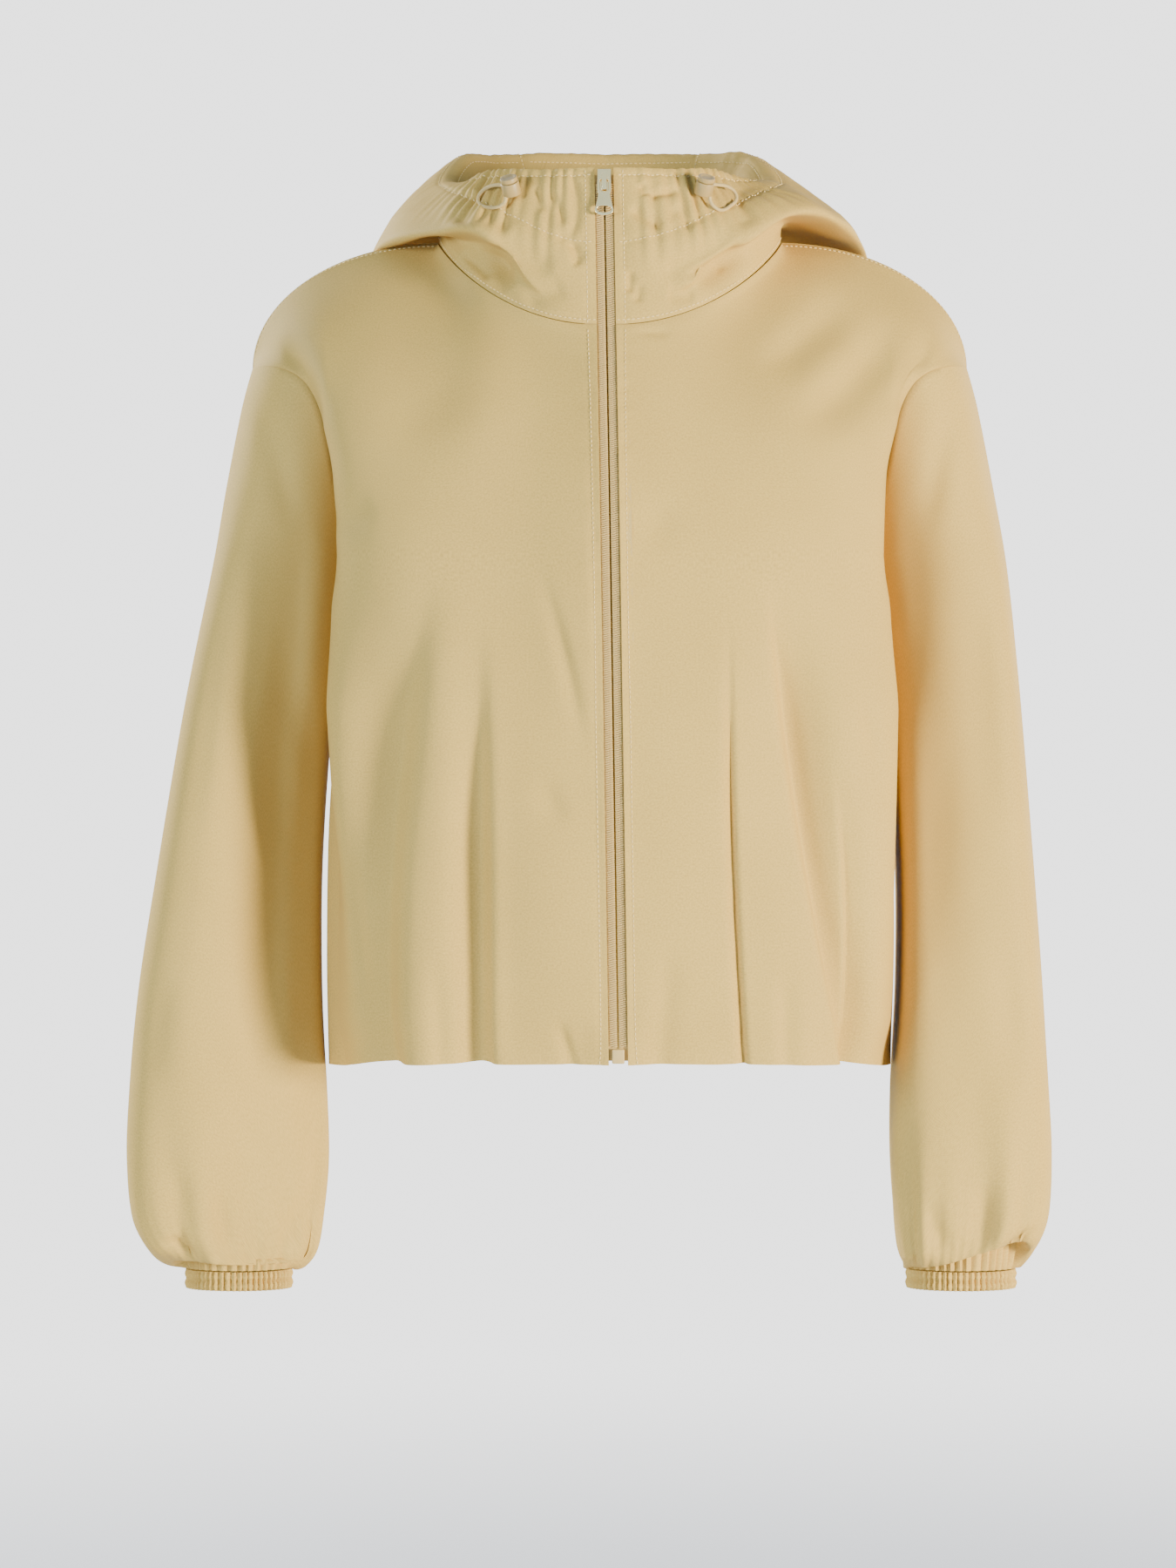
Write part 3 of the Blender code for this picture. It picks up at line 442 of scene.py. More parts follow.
    def fold_depth(self, folds: tuple[Fold, ...], x: Array, height: Array) -> Array:
        """How far the folds press a body panel in at a distance from its middle and a height."""
        total = np.zeros_like(x)
        for fold in folds:
            share = (height - self.hem_height) / (fold.top_height - self.hem_height)
            line = blend(fold.hem_x, fold.top_x, ease(0.0, 1.0, share))
            reach = np.where(x < line, fold.towards_zip, fold.towards_side)
            reach = reach * blend(1.0, self.fold_widening, share)
            strength = blend(self.fold_hem_share, 1.0, ease(0.0, self.fold_full_at, share))
            strength = strength * (1.0 - ease(self.fold_fade_from, 1.0, share))
            total += hollow(fold.depth * strength, reach, x - line)
        return total

    def body_panel(self, across: Array, up: Array, front: bool, folds: tuple[Fold, ...]) -> Array:
        """Point of half a body panel with its folds pressed in square to the cloth."""
        point = self.body_form(across, up, front)
        step = 0.01
        ahead = self.body_form(np.minimum(across + step, 1.0), up, front)
        along = ahead - self.body_form(np.maximum(across - step, 0.0), up, front)
        square = unit(np.stack([-along[..., 1], along[..., 0], np.zeros_like(across)], axis=-1))
        free_from, free_to = self.fold_free
        free = 1.0 - ease(free_to, 1.0, across)
        if front:
            free = free * ease(0.0, free_from, across)
        depth = self.fold_depth(folds, point[..., 0], point[..., 2]) * free
        return point + square * (depth if front else -depth)[..., None]

    def front_panel(self, side: Side, across: Array, up: Array) -> Array:
        """Point of a front panel."""
        point = self.body_panel(across, up, True, FRONT_FOLDS[side])
        fade = np.maximum(1.0 - across / self.neck_share, 0.0) ** 2
        point[..., 0] = side.hand * point[..., 0] + self.zip_shift(point[..., 2]) * fade
        return point

    def back_panel(self, across: Array, up: Array) -> Array:
        """Point of the back panel, across from -1 to 1."""
        point = self.body_panel(np.abs(across), up, False, BACK_FOLDS)
        point[..., 0] = np.copysign(point[..., 0], across)
        return point

    def hood_form(self, angle: Array, place: Array, fold: Array | None = None) -> Array:
        """Point of the hood's right half.

        Args:
            angle: the angle from the front.
            place: the place up the section.
            fold: table of what a fold adds to the section.

        Returns:
            The points.
        """
        front = angle <= 90.0
        seam = self.neck_seam(np.where(front, angle, 180.0 - angle), front)
        row = row_at(HOOD, angle / self.hood_step)
        if fold is not None:
            row[..., :fold.shape[1]] += row_at(fold, angle / self.hood_step)
        turn = np.radians(angle)
        side = np.sin(turn) ** 2
        foot = seam[..., 2] + 2.0 * self.seam_gap + self.cloth / 2.0 * side
        rise = blend(self.hood_rise_front, self.hood_rise_back, ease(*self.hood_rise_over, angle))
        knots = [np.stack([-self.cloth * side, foot], axis=-1)]
        knots.append(np.stack([np.zeros_like(foot), foot + rise], axis=-1))
        knots += [row[..., 2 * number:2 * number + 2] for number in range(5)]
        section = through(np.stack(knots), place)
        out = section[..., 0]
        x = seam[..., 0] + out * np.sin(turn)
        return np.stack([x, seam[..., 1] - out * np.cos(turn), section[..., 1]], axis=-1)

    def hood_point(self, angle: Array, place: Array, hand: Array, fold: Array | None = None) -> Array:
        """Point of the hood by the angle from the front on one hand, with what a fold adds."""
        point = self.hood_form(angle, place, fold)
        turn = np.radians(angle)
        loose = np.sin(math.pi * np.clip((place - 1.0) / 4.0, 0.0, 1.0))
        slump = self.hood_slump * loose * np.sin(turn) ** 2
        fade = np.maximum(1.0 - angle / 90.0, 0.0) ** 2
        point[..., 0] = hand * point[..., 0] + slump + self.zip_shift(point[..., 2]) * fade
        return point

    def sleeve_point(self, side: Side, angle: Array, down: Array) -> Array:
        """Point of a sleeve, down from 0 at the armhole seam to 1 at the cuff."""
        table = SLEEVE[side]
        last = len(table) - 1
        place = blend(self.armhole_place(angle) + self.sleeve_start, last, down)
        point = self.sleeve_tube(table, angle, place)
        near_cuff = ease(last - self.puff_rows, last - self.cuff_rows, place)
        at_cuff = ease(last - self.cuff_rows, last, place)
        wave = self.gather_wave(side, angle, self.sleeve_gathers)
        out = near_cuff * blend(self.sleeve_gather, self.cuff_gather, at_cuff) * wave
        puff = self.sleeve_puff * np.cos(self.puffs * angle + side.hand)
        out = out + near_cuff * (1.0 - at_cuff) * puff
        x = side.hand * (point[..., 0] + out * np.cos(angle))
        return np.stack([x, point[..., 1] - out * np.sin(angle), point[..., 2]], axis=-1)

    def gather_wave(self, side: Side, angle: Array, count: int) -> Array:
        """Uneven wave of the elastic round a cuff, from -1 to 1, with a number of gathers."""
        (broad, broad_waves), (fine, fine_waves) = self.gather_drift
        drift = broad * np.sin(broad_waves * angle + side.hand) + fine * np.sin(fine_waves * angle)
        return np.cos(count * angle + drift)

    def cuff_point(self, side: Side, angle: Array, down: Array) -> Array:
        """Point of a gathered cuff, down from 0 at the sleeve to 1 at its open edge."""
        height, outer, inner, depth, centre = SLEEVE[side][-1]
        middle = (outer + inner) / 2.0
        half = (outer - inner) / 2.0
        wave = self.cuff_gather * self.gather_wave(side, angle, self.cuff_gathers)
        wave = wave * blend(1.0, self.cuff_flare, down)
        x = side.hand * (middle + (half + wave) * np.cos(angle))
        z = height - self.seam_gap - self.cloth / 2.0 - self.cuff_height * down
        return np.stack([x, centre - (depth + wave) * np.sin(angle), z], axis=-1)

    def zip_line(self, count: int) -> Array:
        """Points of the centre front from the hem up to the rim, at equal lengths."""
        up = np.linspace(0.0, 2.0, 300)
        place = np.linspace(0.0, HOOD_TOP, 200)
        body = self.body_form(np.zeros_like(up), up, True)
        neck = self.hood_form(np.zeros_like(place), place)
        points = np.concatenate([body, neck[1:]])
        points[:, 0] = self.zip_shift(points[:, 2])
        number = np.arange(len(points), dtype=float)
        return read_at(even_places(points, number, count), number, points)


@dataclass(frozen=True)
class Crease:
    """Crease of the cloth, placed as it is seen from the front or from behind.

    It runs from start to end, each an X and a height, pressed in by depth. On its two sides it eases out over
    the widths before and after, seen along it. Rise and fall are the shares over which its ends fade.
    """

    start: tuple[float, float]
    end: tuple[float, float]
    depth: float
    before: float
    after: float
    bow: float = 0.0
    rise: float = 0.4
    fall: float = 0.4

    def press(self, x: Array, z: Array) -> Array:
        """How far the crease presses the cloth in at each X and height."""
        across = self.end[0] - self.start[0]
        up = self.end[1] - self.start[1]
        length = math.hypot(across, up)
        share = ((x - self.start[0]) * across + (z - self.start[1]) * up) / length**2
        off = ((x - self.start[0]) * up - (z - self.start[1]) * across) / length
        inside = np.clip(share, 0.0, 1.0)
        off = off - self.bow * 4.0 * inside * (1.0 - inside)
        width = np.where(off < 0.0, self.before, self.after)
        fade = 1.0 - ease(1.0 - self.fall, 1.0, share)
        if self.rise > 0.0:
            fade = fade * ease(0.0, self.rise, share)
        return hollow(self.depth * fade, width, off)


def creases(*rows: tuple[float, ...]) -> tuple[Crease, ...]:
    """Creases from rows of start, end, depth, widths before and after, bow, rise and fall."""
    return tuple(Crease((row[0], row[1]), (row[2], row[3]), *row[4:]) for row in rows)


@dataclass(frozen=True)
class Ripple:
    """Soft unevenness of hanging cloth: a few long waves with fixed phases."""

    height: float
    length: float
    seed: int
    waves: int = 7
    lean: float = 0.9
    lengths: Span = (0.6, 1.6)
    upright: float = 0.5

    def press(self, across: Array, along: Array) -> Array:
        """How far the cloth is pressed in at each place, in metres across and along the panel."""
        draw = np.random.default_rng(self.seed)
        total = np.zeros_like(across)
        for _ in range(self.waves):
            heading = draw.uniform(-self.lean, self.lean)
            reach = self.length * draw.uniform(*self.lengths)
            phase = draw.uniform(0.0, TURN)
            turn = (across * math.cos(heading) + along * math.sin(heading) * self.upright) / reach
            total += np.sin(TURN * turn + phase)
        return self.height * total / math.sqrt(self.waves)


FRONT_CREASES = {
    Side.LEFT: creases(
        (-0.0825, -0.5207, -0.0835, -0.2316, 0.0042, 0.015, 0.007, 0.0, 0.0, 0.55),
        (-0.073, -0.5207, -0.075, -0.26, -0.0007, 0.0015, 0.008, 0.0, 0.0, 0.55),
        (-0.1475, -0.5207, -0.1105, -0.2, 0.0064, 0.036, 0.013, -0.012, 0.0, 0.45),
        (-0.0156, -0.3292, -0.0466, -0.2041, 0.0009, 0.006, 0.004, 0.003, 0.4, 0.5),
        (-0.0276, -0.3727, -0.0466, -0.3401, 0.0008, 0.009, 0.007, 0.0, 0.4, 0.5),
        (-0.0249, -0.5169, -0.033, -0.4897, 0.0009, 0.005, 0.003, 0.0, 0.0, 0.6),
        (-0.1701, -0.1932, -0.15, -0.1605, 0.001, 0.012, 0.009, 0.0, 0.4, 0.5),
        (-0.183, -0.1225, -0.2075, -0.056, 0.0014, 0.005, 0.009, -0.003, 0.3, 0.4),
        (-0.1788, -0.2367, -0.187, -0.117, 0.0015, 0.006, 0.01, 0.0, 0.3, 0.3),
        (-0.1418, -0.1388, -0.0766, -0.0735, 0.001, 0.022, 0.022, 0.0, 0.4, 0.5),
        (-0.1663, -0.5033, -0.1772, -0.3455, 0.0016, 0.009, 0.009, 0.0, 0.3, 0.5),
        (-0.1065, -0.5207, -0.1092, -0.4434, 0.001, 0.006, 0.008, 0.0, 0.0, 0.6),
    ),
    Side.RIGHT: creases(
        (0.0845, -0.5207, 0.0741, -0.2313, 0.0019, 0.004, 0.0018, -0.003, 0.0, 0.5),
        (0.153, -0.5207, 0.1, -0.21, 0.0048, 0.0045, 0.019, -0.006, 0.0, 0.35),
        (0.156, -0.5207, 0.141, -0.3248, 0.002, 0.0025, 0.012, 0.003, 0.0, 0.45),
        (0.1682, -0.3401, 0.1574, -0.2857, 0.0008, 0.006, 0.005, 0.0, 0.4, 0.5),
        (0.18, -0.117, 0.205, -0.0528, 0.0013, 0.009, 0.005, 0.003, 0.3, 0.4),
        (0.1775, -0.2367, 0.1846, -0.117, 0.0014, 0.01, 0.006, 0.0, 0.3, 0.3),
        (0.0905, -0.093, 0.16, -0.033, 0.002, 0.012, 0.016, 0.0, 0.4, 0.4),
        (0.113, -0.133, 0.194, -0.043, 0.003, 0.014, 0.018, 0.002, 0.4, 0.4),
        (0.0241, -0.2041, 0.0377, -0.1605, 0.0007, 0.012, 0.012, 0.0, 0.4, 0.5),
        (0.0322, -0.5169, 0.0377, -0.4325, 0.0008, 0.008, 0.008, 0.0, 0.0, 0.6),
        (0.1111, -0.5207, 0.1084, -0.4489, 0.0009, 0.006, 0.008, 0.0, 0.0, 0.6),
        (0.0404, -0.0637, 0.0132, -0.0604, 0.0006, 0.003, 0.003, 0.0, 0.4, 0.4),
    ),
}
BACK_CREASES = creases(
    (0.064, -0.521, 0.052, -0.26, 0.0024, 0.003, 0.011, 0.0, 0.0, 0.55),
    (-0.058, -0.521, -0.05, -0.25, 0.0026, 0.012, 0.0028, 0.0, 0.0, 0.55),
    (0.134, -0.521, 0.112, -0.23, 0.0024, 0.004, 0.013, 0.004, 0.0, 0.5),
    (-0.132, -0.521, -0.116, -0.21, 0.0022, 0.014, 0.004, -0.004, 0.0, 0.5),
    (0.179, -0.22, 0.188, -0.11, 0.0016, 0.01, 0.007, 0.0, 0.3, 0.3),
    (-0.179, -0.225, -0.188, -0.11, 0.0016, 0.007, 0.01, 0.0, 0.3, 0.3),
    (0.07, -0.19, 0.16, -0.13, 0.0012, 0.02, 0.018, 0.0, 0.4, 0.5),
    (-0.05, -0.22, -0.15, -0.15, 0.0012, 0.022, 0.018, 0.0, 0.4, 0.5),
    (0.01, -0.521, 0.006, -0.43, 0.001, 0.007, 0.006, 0.0, 0.0, 0.6),
)
HOOD_CREASES = {
    Side.LEFT: creases(
        (-0.0424, 0.0131, -0.0484, 0.0324, 0.0009, 0.003, 0.0025, 0.001, 0.25, 0.25),
        (-0.0282, 0.0046, -0.0391, 0.0297, 0.0011, 0.0035, 0.0025, 0.001, 0.25, 0.25),
        (-0.0244, -0.0039, -0.0249, 0.0408, 0.0012, 0.003, 0.003, 0.004, 0.25, 0.25),
        (-0.0216, -0.022, -0.0249, -0.004, 0.0012, 0.003, 0.003, 0.002, 0.25, 0.25),
        (-0.0331, -0.0231, -0.079, -0.0084, 0.0016, 0.008, 0.009, 0.0, 0.25, 0.25),
        (-0.06, -0.033, -0.086, -0.006, 0.0034, 0.009, 0.003, 0.004, 0.4, 0.4),
        (-0.0768, -0.0275, -0.0932, -0.0078, 0.0014, 0.004, 0.004, 0.0, 0.25, 0.25),
        (-0.0604, 0.0031, -0.085, 0.0195, 0.0015, 0.006, 0.008, 0.0, 0.25, 0.25),
        (-0.096, 0.0053, -0.085, 0.0304, 0.0014, 0.006, 0.006, 0.0, 0.25, 0.25),
        (-0.0135, -0.0177, -0.0331, 0.0031, 0.0008, 0.005, 0.005, 0.0, 0.25, 0.25),
        (-0.055, -0.045, -0.0277, -0.0313, 0.0008, 0.008, 0.008, 0.0, 0.25, 0.25),
    ),
    Side.RIGHT: creases(
        (0.0232, 0.0233, 0.0188, 0.0326, 0.0015, 0.0025, 0.0025, 0.0, 0.25, 0.25),
        (0.0232, 0.0239, 0.0445, 0.0293, 0.0015, 0.0025, 0.003, 0.0, 0.25, 0.25),
        (0.0117, 0.0173, 0.0335, 0.0026, 0.0014, 0.004, 0.004, 0.0, 0.25, 0.25),
        (0.0436, -0.0285, 0.086, -0.001, 0.0034, 0.0026, 0.01, 0.003, 0.4, 0.4),
        (0.0652, -0.0133, 0.074, -0.0226, 0.0008, 0.003, 0.003, 0.0, 0.25, 0.25),
        (0.027, -0.0286, 0.0794, 0.0009, 0.0017, 0.008, 0.007, 0.002, 0.25, 0.25),
        (0.0122, -0.0384, 0.0122, -0.022, 0.0011, 0.0025, 0.003, 0.0, 0.25, 0.25),
        (0.0166, -0.0444, 0.0188, -0.0302, 0.0009, 0.0025, 0.003, 0.0, 0.25, 0.25),
        (0.0346, -0.0373, 0.0543, -0.0373, 0.0012, 0.006, 0.006, 0.0, 0.25, 0.25),
        (0.0543, 0.0031, 0.039, 0.0195, 0.001, 0.005, 0.005, 0.0, 0.25, 0.25),
        (0.0871, 0.0031, 0.0789, 0.0342, 0.001, 0.006, 0.005, 0.0, 0.25, 0.25),
    ),
}
SLEEVE_CREASES = {
    Side.LEFT: creases(
        (-0.2053, -0.3455, -0.1942, -0.1348, 0.0016, 0.016, 0.012),
        (-0.2219, -0.5395, -0.2119, -0.2679, 0.0018, 0.018, 0.014, 0.004),
        (-0.2829, -0.631, -0.2629, -0.6515, 0.0022, 0.005, 0.005),
        (-0.1931, -0.6005, -0.2097, -0.6449, 0.002, 0.006, 0.005),
        (-0.2496, -0.6005, -0.243, -0.6449, 0.0014, 0.007, 0.006),
        (-0.2746, -0.5839, -0.2651, -0.6393, 0.0012, 0.008, 0.007),
        (-0.269, -0.3899, -0.2468, -0.2014, 0.001, 0.014, 0.012),
        (-0.294, -0.5451, -0.2829, -0.4564, 0.001, 0.012, 0.01),
        (-0.1997, -0.1903, -0.2247, -0.0905, 0.0012, 0.008, 0.01),
    ),
    Side.RIGHT: creases(
        (0.1994, -0.3455, 0.1911, -0.1348, 0.0015, 0.012, 0.016),
        (0.2133, -0.5395, 0.2006, -0.2679, 0.0016, 0.014, 0.018),
        (0.2726, -0.6271, 0.2349, -0.6571, 0.0022, 0.005, 0.005),
        (0.2383, -0.595, 0.2327, -0.6449, 0.0013, 0.007, 0.006),
        (0.1994, -0.6061, 0.2133, -0.6504, 0.0014, 0.007, 0.006),
        (0.2438, -0.3899, 0.2327, -0.2014, 0.0009, 0.014, 0.012),
        (0.2604, -0.5451, 0.2493, -0.4342, 0.001, 0.012, 0.01),
        (0.1994, -0.1903, 0.2216, -0.0905, 0.0012, 0.01, 0.008),
    ),
}
FRONT_RIPPLE = {Side.LEFT: Ripple(0.0009, 0.11, 11), Side.RIGHT: Ripple(0.0009, 0.11, 23)}
BACK_RIPPLE = Ripple(0.0009, 0.12, 37)
HOOD_RIPPLE = {Side.LEFT: Ripple(0.0010, 0.06, 51), Side.RIGHT: Ripple(0.0010, 0.06, 67)}
HOOD_CENTRE_RIPPLE = Ripple(0.0007, 0.06, 83)


def pressed(creases: tuple[Crease, ...], points: Array) -> Array:
    """How far a set of creases presses the cloth in at each point."""
    total = np.zeros(points.shape[:-1])
    for crease in creases:
        total += crease.press(points[..., 0], points[..., 2])
    return total


def deselect() -> None:
    """Leave nothing selected, so that an operator acts on the new piece alone."""
    bpy.ops.object.select_all(action="DESELECT")


def make_active(thing: bpy.types.Object) -> None:
    """Select one object alone and make it active."""
    deselect()
    thing.select_set(True)
    bpy.context.view_layer.objects.active = thing


def apply_modifier(thing: bpy.types.Object, kind: str, **settings: object) -> None:
    """Add a modifier to an object, set it and apply it.

    Args:
        thing: the object.
        kind: the modifier's type.
        settings: its settings by name.
    """
    make_active(thing)
    modifier = thing.modifiers.new(kind.title(), kind)
    for name, value in settings.items():
        setattr(modifier, name, value)
    bpy.ops.object.modifier_apply(modifier=modifier.name)


def link_new(name: str, data: bpy.types.ID) -> bpy.types.Object:
    """New object with its data, in the scene."""
    thing = bpy.data.objects.new(name, data)
    bpy.context.scene.collection.objects.link(thing)
    return thing


@contextmanager
def editing() -> Iterator[None]:
    """Edit the active mesh with all of it selected."""
    bpy.ops.object.mode_set(mode="EDIT")
    bpy.ops.mesh.select_all(action="SELECT")
    yield
    bpy.ops.object.mode_set(mode="OBJECT")


def round_edges(thing: bpy.types.Object, radius: float) -> None:
    """Round the sharp edges of an object."""
    limit = {"limit_method": "ANGLE", "angle_limit": BEVEL_ANGLE}
    apply_modifier(thing, "BEVEL", width=radius, segments=3, **limit)


def finish_piece(
    thing: bpy.types.Object,
    material: bpy.types.Material,
    body: str,
    nodes: tuple[str, ...] = (),
) -> bpy.types.Object:
    """Dress a piece, set it on its body and hide the solids that it replaces.

    Args:
        thing: the piece.
        material: its finish.
        body: the body that it rides on.
        nodes: the solids that it replaces.

    Returns:
        The piece.
    """
    thing.data.materials.clear()
    thing.data.materials.append(material)
    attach(thing, body)
    if nodes:
        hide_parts(*nodes)
    faces = len(thing.data.polygons) if thing.type == "MESH" else 0
    LOG.info("%s: %d faces on %s", thing.name, faces, body)
    return thing


@dataclass
class ClothPanel:
    """Sewn panel on a grid of points, rows by columns, that becomes a wall of cloth."""

    name: str
    points: Array
    flip: bool
    closed: bool = False
    thickness: float = 0.0012
    held_cells: float = 4.0
    pace: float = 0.5
    normals: Array = field(init=False)
    across: Array = field(init=False)
    along: Array = field(init=False)

    def __post_init__(self) -> None:
        """Measure the panel as cut, before it is creased."""
        self.across = self.run_along(1)
        self.along = self.run_along(0)
        self.normals = self.way_out()

    def run_along(self, axis: int) -> Array:
        """Length from the first column, axis 1, or from the first row, axis 0, at each point."""
        steps = np.linalg.norm(np.diff(self.points, axis=axis), axis=-1)
        start = np.zeros_like(np.take(steps, [0], axis=axis))
        return np.concatenate([start, np.cumsum(steps, axis=axis)], axis=axis)

    def way_out(self) -> Array:
        """Direction out of the cloth at each point."""
        if self.closed:
            ahead = np.roll(self.points[:, :-1], -1, axis=1) - np.roll(self.points[:, :-1], 1, axis=1)
            right = np.concatenate([ahead, ahead[:, :1]], axis=1)
        else:
            right = np.gradient(self.points, axis=1)
        square = np.cross(right, np.gradient(self.points, axis=0))
        return unit(square) * (-1.0 if self.flip else 1.0)

    def relax(self, rounds: int, share: Array | float = 1.0) -> None:
        """Smooth the panel away from its edges, so that no line shows where two of its forms meet.

        Args:
            rounds: how many times.
            share: how freely each point moves, from 0 to 1.
        """
        rows, columns = self.points.shape[:2]
        down = np.minimum(np.arange(rows), np.arange(rows)[::-1])
        right = np.minimum(np.arange(columns), np.arange(columns)[::-1])
        inside = ease(0.0, self.held_cells, down)[:, None] * ease(0.0, self.held_cells, right)[None, :]
        free = self.pace * (inside * share)[..., None]
        for _ in range(rounds):
            beside = np.roll(self.points, 1, axis=1) + np.roll(self.points, -1, axis=1)
            above = np.roll(self.points, 1, axis=0) + np.roll(self.points, -1, axis=0)
            self.points = self.points + free * ((beside + above) / 4.0 - self.points)
        self.normals = self.way_out()

    def press(self, depth: Array) -> None:
        """Press the cloth in by a depth at each point, square to it."""
        self.points = self.points - self.normals * depth[..., None]
        self.normals = self.way_out()

    def to_last(self) -> Array:
        """Length from each point to the last column."""
        return self.across[:, -1:] - self.across

    def to_head(self) -> Array:
        """Length from each point to the last row."""
        return self.along[-1:] - self.along

    def from_edges(self, first: float, last: float, foot: float, head: float) -> Array:
        """Share that is 0 at the seams and 1 inside, over a width for each edge, or 0 for a free edge."""
        share = np.ones(self.points.shape[:2])
        edges = ((first, self.across), (last, self.to_last()), (foot, self.along), (head, self.to_head()))
        for width, distance in edges:
            if width > 0.0:
                share = share * ease(0.0, width, distance)
        return share

    def sample(self, column: Array, row: Array) -> Line:
        """Line through the panel by column and row numbers, which may fall between those of the grid."""
        low_column = np.clip(column.astype(int), 0, self.points.shape[1] - 2)
        low_row = np.clip(row.astype(int), 0, self.points.shape[0] - 2)
        right = (column - low_column)[:, None]
        up = (row - low_row)[:, None]

        def value(grid: Array) -> Array:
            """Value of a grid between its points."""
            low = blend(grid[low_row, low_column], grid[low_row, low_column + 1], right)
            high = blend(grid[low_row + 1, low_column], grid[low_row + 1, low_column + 1], right)
            return blend(low, high, up)

        return Line(value(self.points), value(self.normals))

    def column_line(self, distance: float, last: bool = False) -> Line:
        """Line at a distance from the first column, or from the last one."""
        rows, columns = self.points.shape[:2]
        number = np.arange(columns, dtype=float)
        wanted = self.across[:, -1] - distance if last else np.full(rows, distance)
        column = np.array([np.interp(wanted[row], self.across[row], number) for row in range(rows)])
        return self.sample(column, np.arange(rows, dtype=float))

    def row_line(self, distance: float, head: bool = False) -> Line:
        """Line at a distance from the first row, or from the last one."""
        rows, columns = self.points.shape[:2]
        number = np.arange(rows, dtype=float)
        wanted = self.along[-1] - distance if head else np.full(columns, distance)
        row = np.array([np.interp(wanted[k], self.along[:, k], number) for k in range(columns)])
        return self.sample(np.arange(columns, dtype=float), row)

    def build(self) -> bpy.types.Object:
        """Make the wall of cloth, with a UV map in metres of cloth."""
        rows, columns = self.points.shape[:2]
        deselect()
        bpy.ops.mesh.primitive_grid_add(x_subdivisions=columns - 1, y_subdivisions=rows - 1, size=1.0)
        thing = bpy.context.object
        thing.name = self.name
        mesh = thing.data
        spots = np.empty(3 * len(mesh.vertices))
        mesh.vertices.foreach_get("co", spots)
        spots = spots.reshape(-1, 3)
        column = np.rint((spots[:, 0] + 0.5) * (columns - 1)).astype(int)
        row = np.rint((spots[:, 1] + 0.5) * (rows - 1)).astype(int)
        mesh.vertices.foreach_set("co", self.points[row, column].ravel())
        corners = np.empty(len(mesh.loops), dtype=int)
        mesh.loops.foreach_get("vertex_index", corners)
        flat = np.stack([self.across[row, column], self.along[row, column]], axis=-1)
        mesh.uv_layers[0].data.foreach_set("uv", flat[corners].ravel())
        if self.flip:
            mesh.flip_normals()
        make_active(thing)
        if self.closed:
            with editing():
                bpy.ops.mesh.remove_doubles(threshold=CLOTH_MERGE_DISTANCE)
        mesh.update()
        apply_modifier(thing, "SOLIDIFY", thickness=self.thickness, offset=0.0, use_quality_normals=True)
        bpy.ops.object.shade_smooth_by_angle(angle=CLOTH_SMOOTH_ANGLE)
        return thing


@dataclass(frozen=True)
class Stitch:
    """One stitch of sewing thread, the space to the next and the reach over which its heading is read."""

    length: float = 0.0021
    pitch: float = 0.0031
    width: float = 0.00078
    lift: float = 0.00075
    reach: float = 0.0006


@dataclass
class Sewing:
    """All rows of stitches on the jacket, made as one piece."""

    stitch: Stitch = field(default_factory=Stitch)
    lines: list[Line] = field(default_factory=list)

    def add(self, line: Line, start: float = 0.0, end: float = 1.0) -> None:
        """Add a row of stitches along part of a line.

        Args:
            line: the line on the cloth.
            start: share of the line's points where the row begins.
            end: share where it ends.
        """
        low = int(start * (len(line.points) - 1))
        high = int(end * (len(line.points) - 1)) + 1
        self.lines.append(Line(line.points[low:high], line.normals[low:high]))

    def places(self, line: Line) -> list[Array]:
        """Placing of each stitch on a line, as the columns of a 3 by 4 matrix."""
        run = run_length(line.points)
        count = int(run[-1] / self.stitch.pitch)
        wanted = (np.arange(count) + 0.5) * self.stitch.pitch
        middle = read_at(wanted, run, line.points)
        ahead = read_at(wanted + self.stitch.reach, run, line.points)
        ahead = unit(ahead - read_at(wanted - self.stitch.reach, run, line.points))
        out = read_at(wanted, run, line.normals)
        out = unit(out - ahead * np.sum(out * ahead, axis=1, keepdims=True))
        middle = middle + out * self.stitch.lift
        aside = np.cross(out, ahead)
        return list(np.stack([ahead, aside, out, middle], axis=-1))

    def build(self) -> bpy.types.Object:
        """Model one stitch and copy it to every place."""
        places = [place for line in self.lines for place in self.places(line)]
        size = (self.stitch.length, self.stitch.width, self.stitch.width)
        return repeated("topstitching", bead(size), places)


def bead(size: tuple[float, float, float], segments: int = 6, rings: int = 5) -> bpy.types.Object:
    """Small round bead with its poles on X, drawn out to a size."""
    deselect()
    bpy.ops.mesh.primitive_uv_sphere_add(segments=segments, ring_count=rings, radius=0.5)
    thing = bpy.context.object
    with editing():
        bpy.ops.transform.rotate(value=math.pi / 2.0, orient_axis="Y", center_override=(0.0, 0.0, 0.0))
        bpy.ops.transform.resize(value=size, center_override=(0.0, 0.0, 0.0))
    return thing


